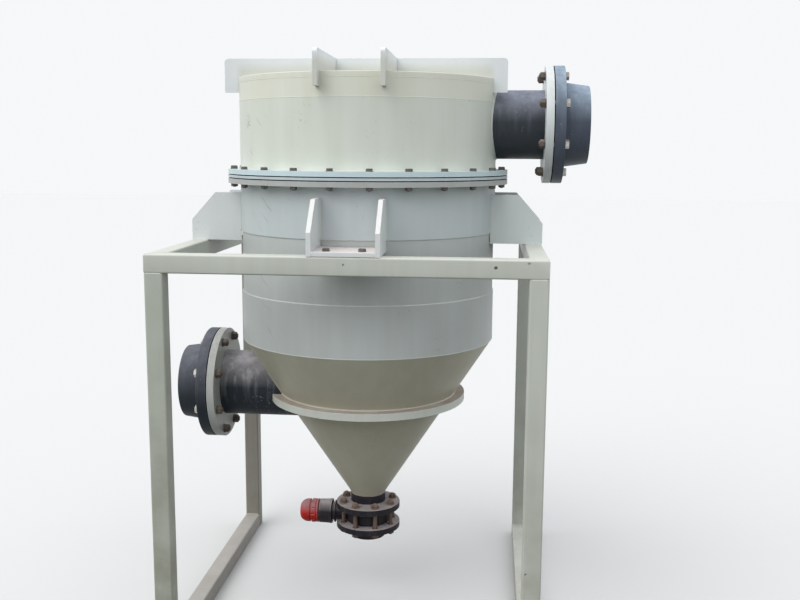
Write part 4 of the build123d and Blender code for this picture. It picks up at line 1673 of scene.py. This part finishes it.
# %% Dress the ducts and the valve
duct_finish = {
    "inlet_pipe": (dusty_duct_plastic, "duct_plastic"),
    "outlet_pipe": (duct_plastic, "duct_plastic"),
    "inlet_backing_ring": (shaded_ring_plastic, "ring_plastic"),
    "outlet_backing_ring": (ring_plastic, "ring_plastic"),
    "inlet_flange": (dull_shaded_duct_plastic, "duct_plastic"),
    "outlet_flange": (sky_sheen_duct_plastic, "duct_plastic"),
}
for node, piece in ducts.items():
    dress(piece, *duct_finish[node], nodes=[node])
dress(upper_valve_flange, valve_plastic, "valve_plastic", nodes=["discharge_upper_flange"])
dress(lower_valve_flange, valve_plastic, "valve_plastic", nodes=["discharge_lower_flange"])
dress(valve_body, valve_plastic, "valve_plastic", nodes=["valve_body"])
dress(cap, cap_plastic, "cap_plastic", "valve_rotor", ["valve_cap"])
steel_sets = [(main_bolt_set, dark_steel), (seat_bolts, dark_steel), (valve_studs, rusty_steel)]
steel_sets += [(heads, bright_steel) for heads in duct_heads] + [(nuts, brown_steel) for nuts in duct_nuts]
for piece, material in steel_sets:
    dress(piece, material, "valve_steel")
print("duct and valve pieces dressed", len(ducts) + 4, "and bolt sets", len(steel_sets))

# %% [markdown]
# ## Parts that stay as packed
# The seals, the tube sheet and the disc are simple shapes that hardly show. They are not modelled
# again, and only get a finish.

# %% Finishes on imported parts
kept_finish = {
    "tube_sheet": sheet_plastic,
    "lower_gasket": seal_rubber,
    "upper_gasket": seal_rubber,
    "inlet_gasket": seal_rubber,
    "outlet_gasket": seal_rubber,
    "valve_disc": bright_steel,
}
for node, material in kept_finish.items():
    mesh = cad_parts[node].data
    mesh.materials.clear()
    mesh.materials.append(material)
shown = [o.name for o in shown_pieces()]
print("pieces shown", len(shown))

# %% [markdown]
# ## The floor
# The studio is a plain pale floor under a pale sky. For the camera the floor is nearly white, but
# it throws as little light on the object as dark earth does. A Light Path node tells the rays
# that show the floor from the rays that only light the object.

# %% Floor
clear_selection()
bpy.ops.mesh.primitive_plane_add(size=40.0, location=(0, 6, 0))
floor = settle("floor")
print("floor", [round(x, 2) for x in floor.dimensions], "m")
floor_material = bpy.data.materials.new("floor")
floor_material.use_nodes = True
tree = floor_material.node_tree
shader = tree.nodes["Principled BSDF"]
path = add(tree, "LightPath").outputs


def seen_ray(tree, path):
    """1 for rays that show the background: straight, mirrored or through glass."""
    mirrored = maths(tree, "MAXIMUM", path["Is Glossy Ray"], path["Is Transmission Ray"])
    return maths(tree, "MAXIMUM", path["Is Camera Ray"], mirrored)


ground_bounce = (0.055, 0.06, 0.045, 1)
pale_floor = (0.575, 0.575, 0.57, 1)
tree.links.new(blend(tree, seen_ray(tree, path), ground_bounce, pale_floor), shader.inputs["Base Color"])
shader.inputs["Roughness"].default_value = 0.9
shader.inputs["Specular IOR Level"].default_value = 0.1
floor.data.materials.append(floor_material)

# %% [markdown]
# ## The sky and the lamp
# The sky is brightest overhead, as on a cloudy day, which makes the cone darker than the drum. For
# the camera it is an even pale tone. A large soft lamp from the upper left in front adds the
# little direction that such a light has.

# %% Sky and lamp
world = bpy.data.worlds.new("sky")
bpy.context.scene.world = world
world.use_nodes = True
tree = world.node_tree
background = tree.nodes["Background"]
path = add(tree, "LightPath").outputs
direction = add(tree, "TexCoord").outputs["Generated"]
upward = add(tree, "SeparateXYZ", Vector=direction).outputs["Z"]
cloudy_sky = blend(tree, remap(tree, upward, 0.0, 0.9), (0.66, 0.675, 0.70, 1), (1.40, 1.44, 1.50, 1))
pale_sky = (0.92, 0.935, 0.95, 1)
tree.links.new(blend(tree, seen_ray(tree, path), cloudy_sky, pale_sky), background.inputs["Color"])
background.inputs["Strength"].default_value = 1.0

bpy.ops.object.light_add(type="SUN", location=(-3, -3, 5))
lamp = bpy.context.object
lamp.name = "soft_daylight"
lamp.data.energy = 1.6
lamp.data.angle = radians(60)
lamp.data.color = (1.0, 0.985, 0.95)
lamp_from = Vector((-1.0, -0.8, 1.5))
lamp.rotation_euler = (-lamp_from).to_track_quat("-Z", "Y").to_euler()

scene = bpy.context.scene
scene.view_settings.view_transform = "Standard"
print("lamp from", list(lamp_from))
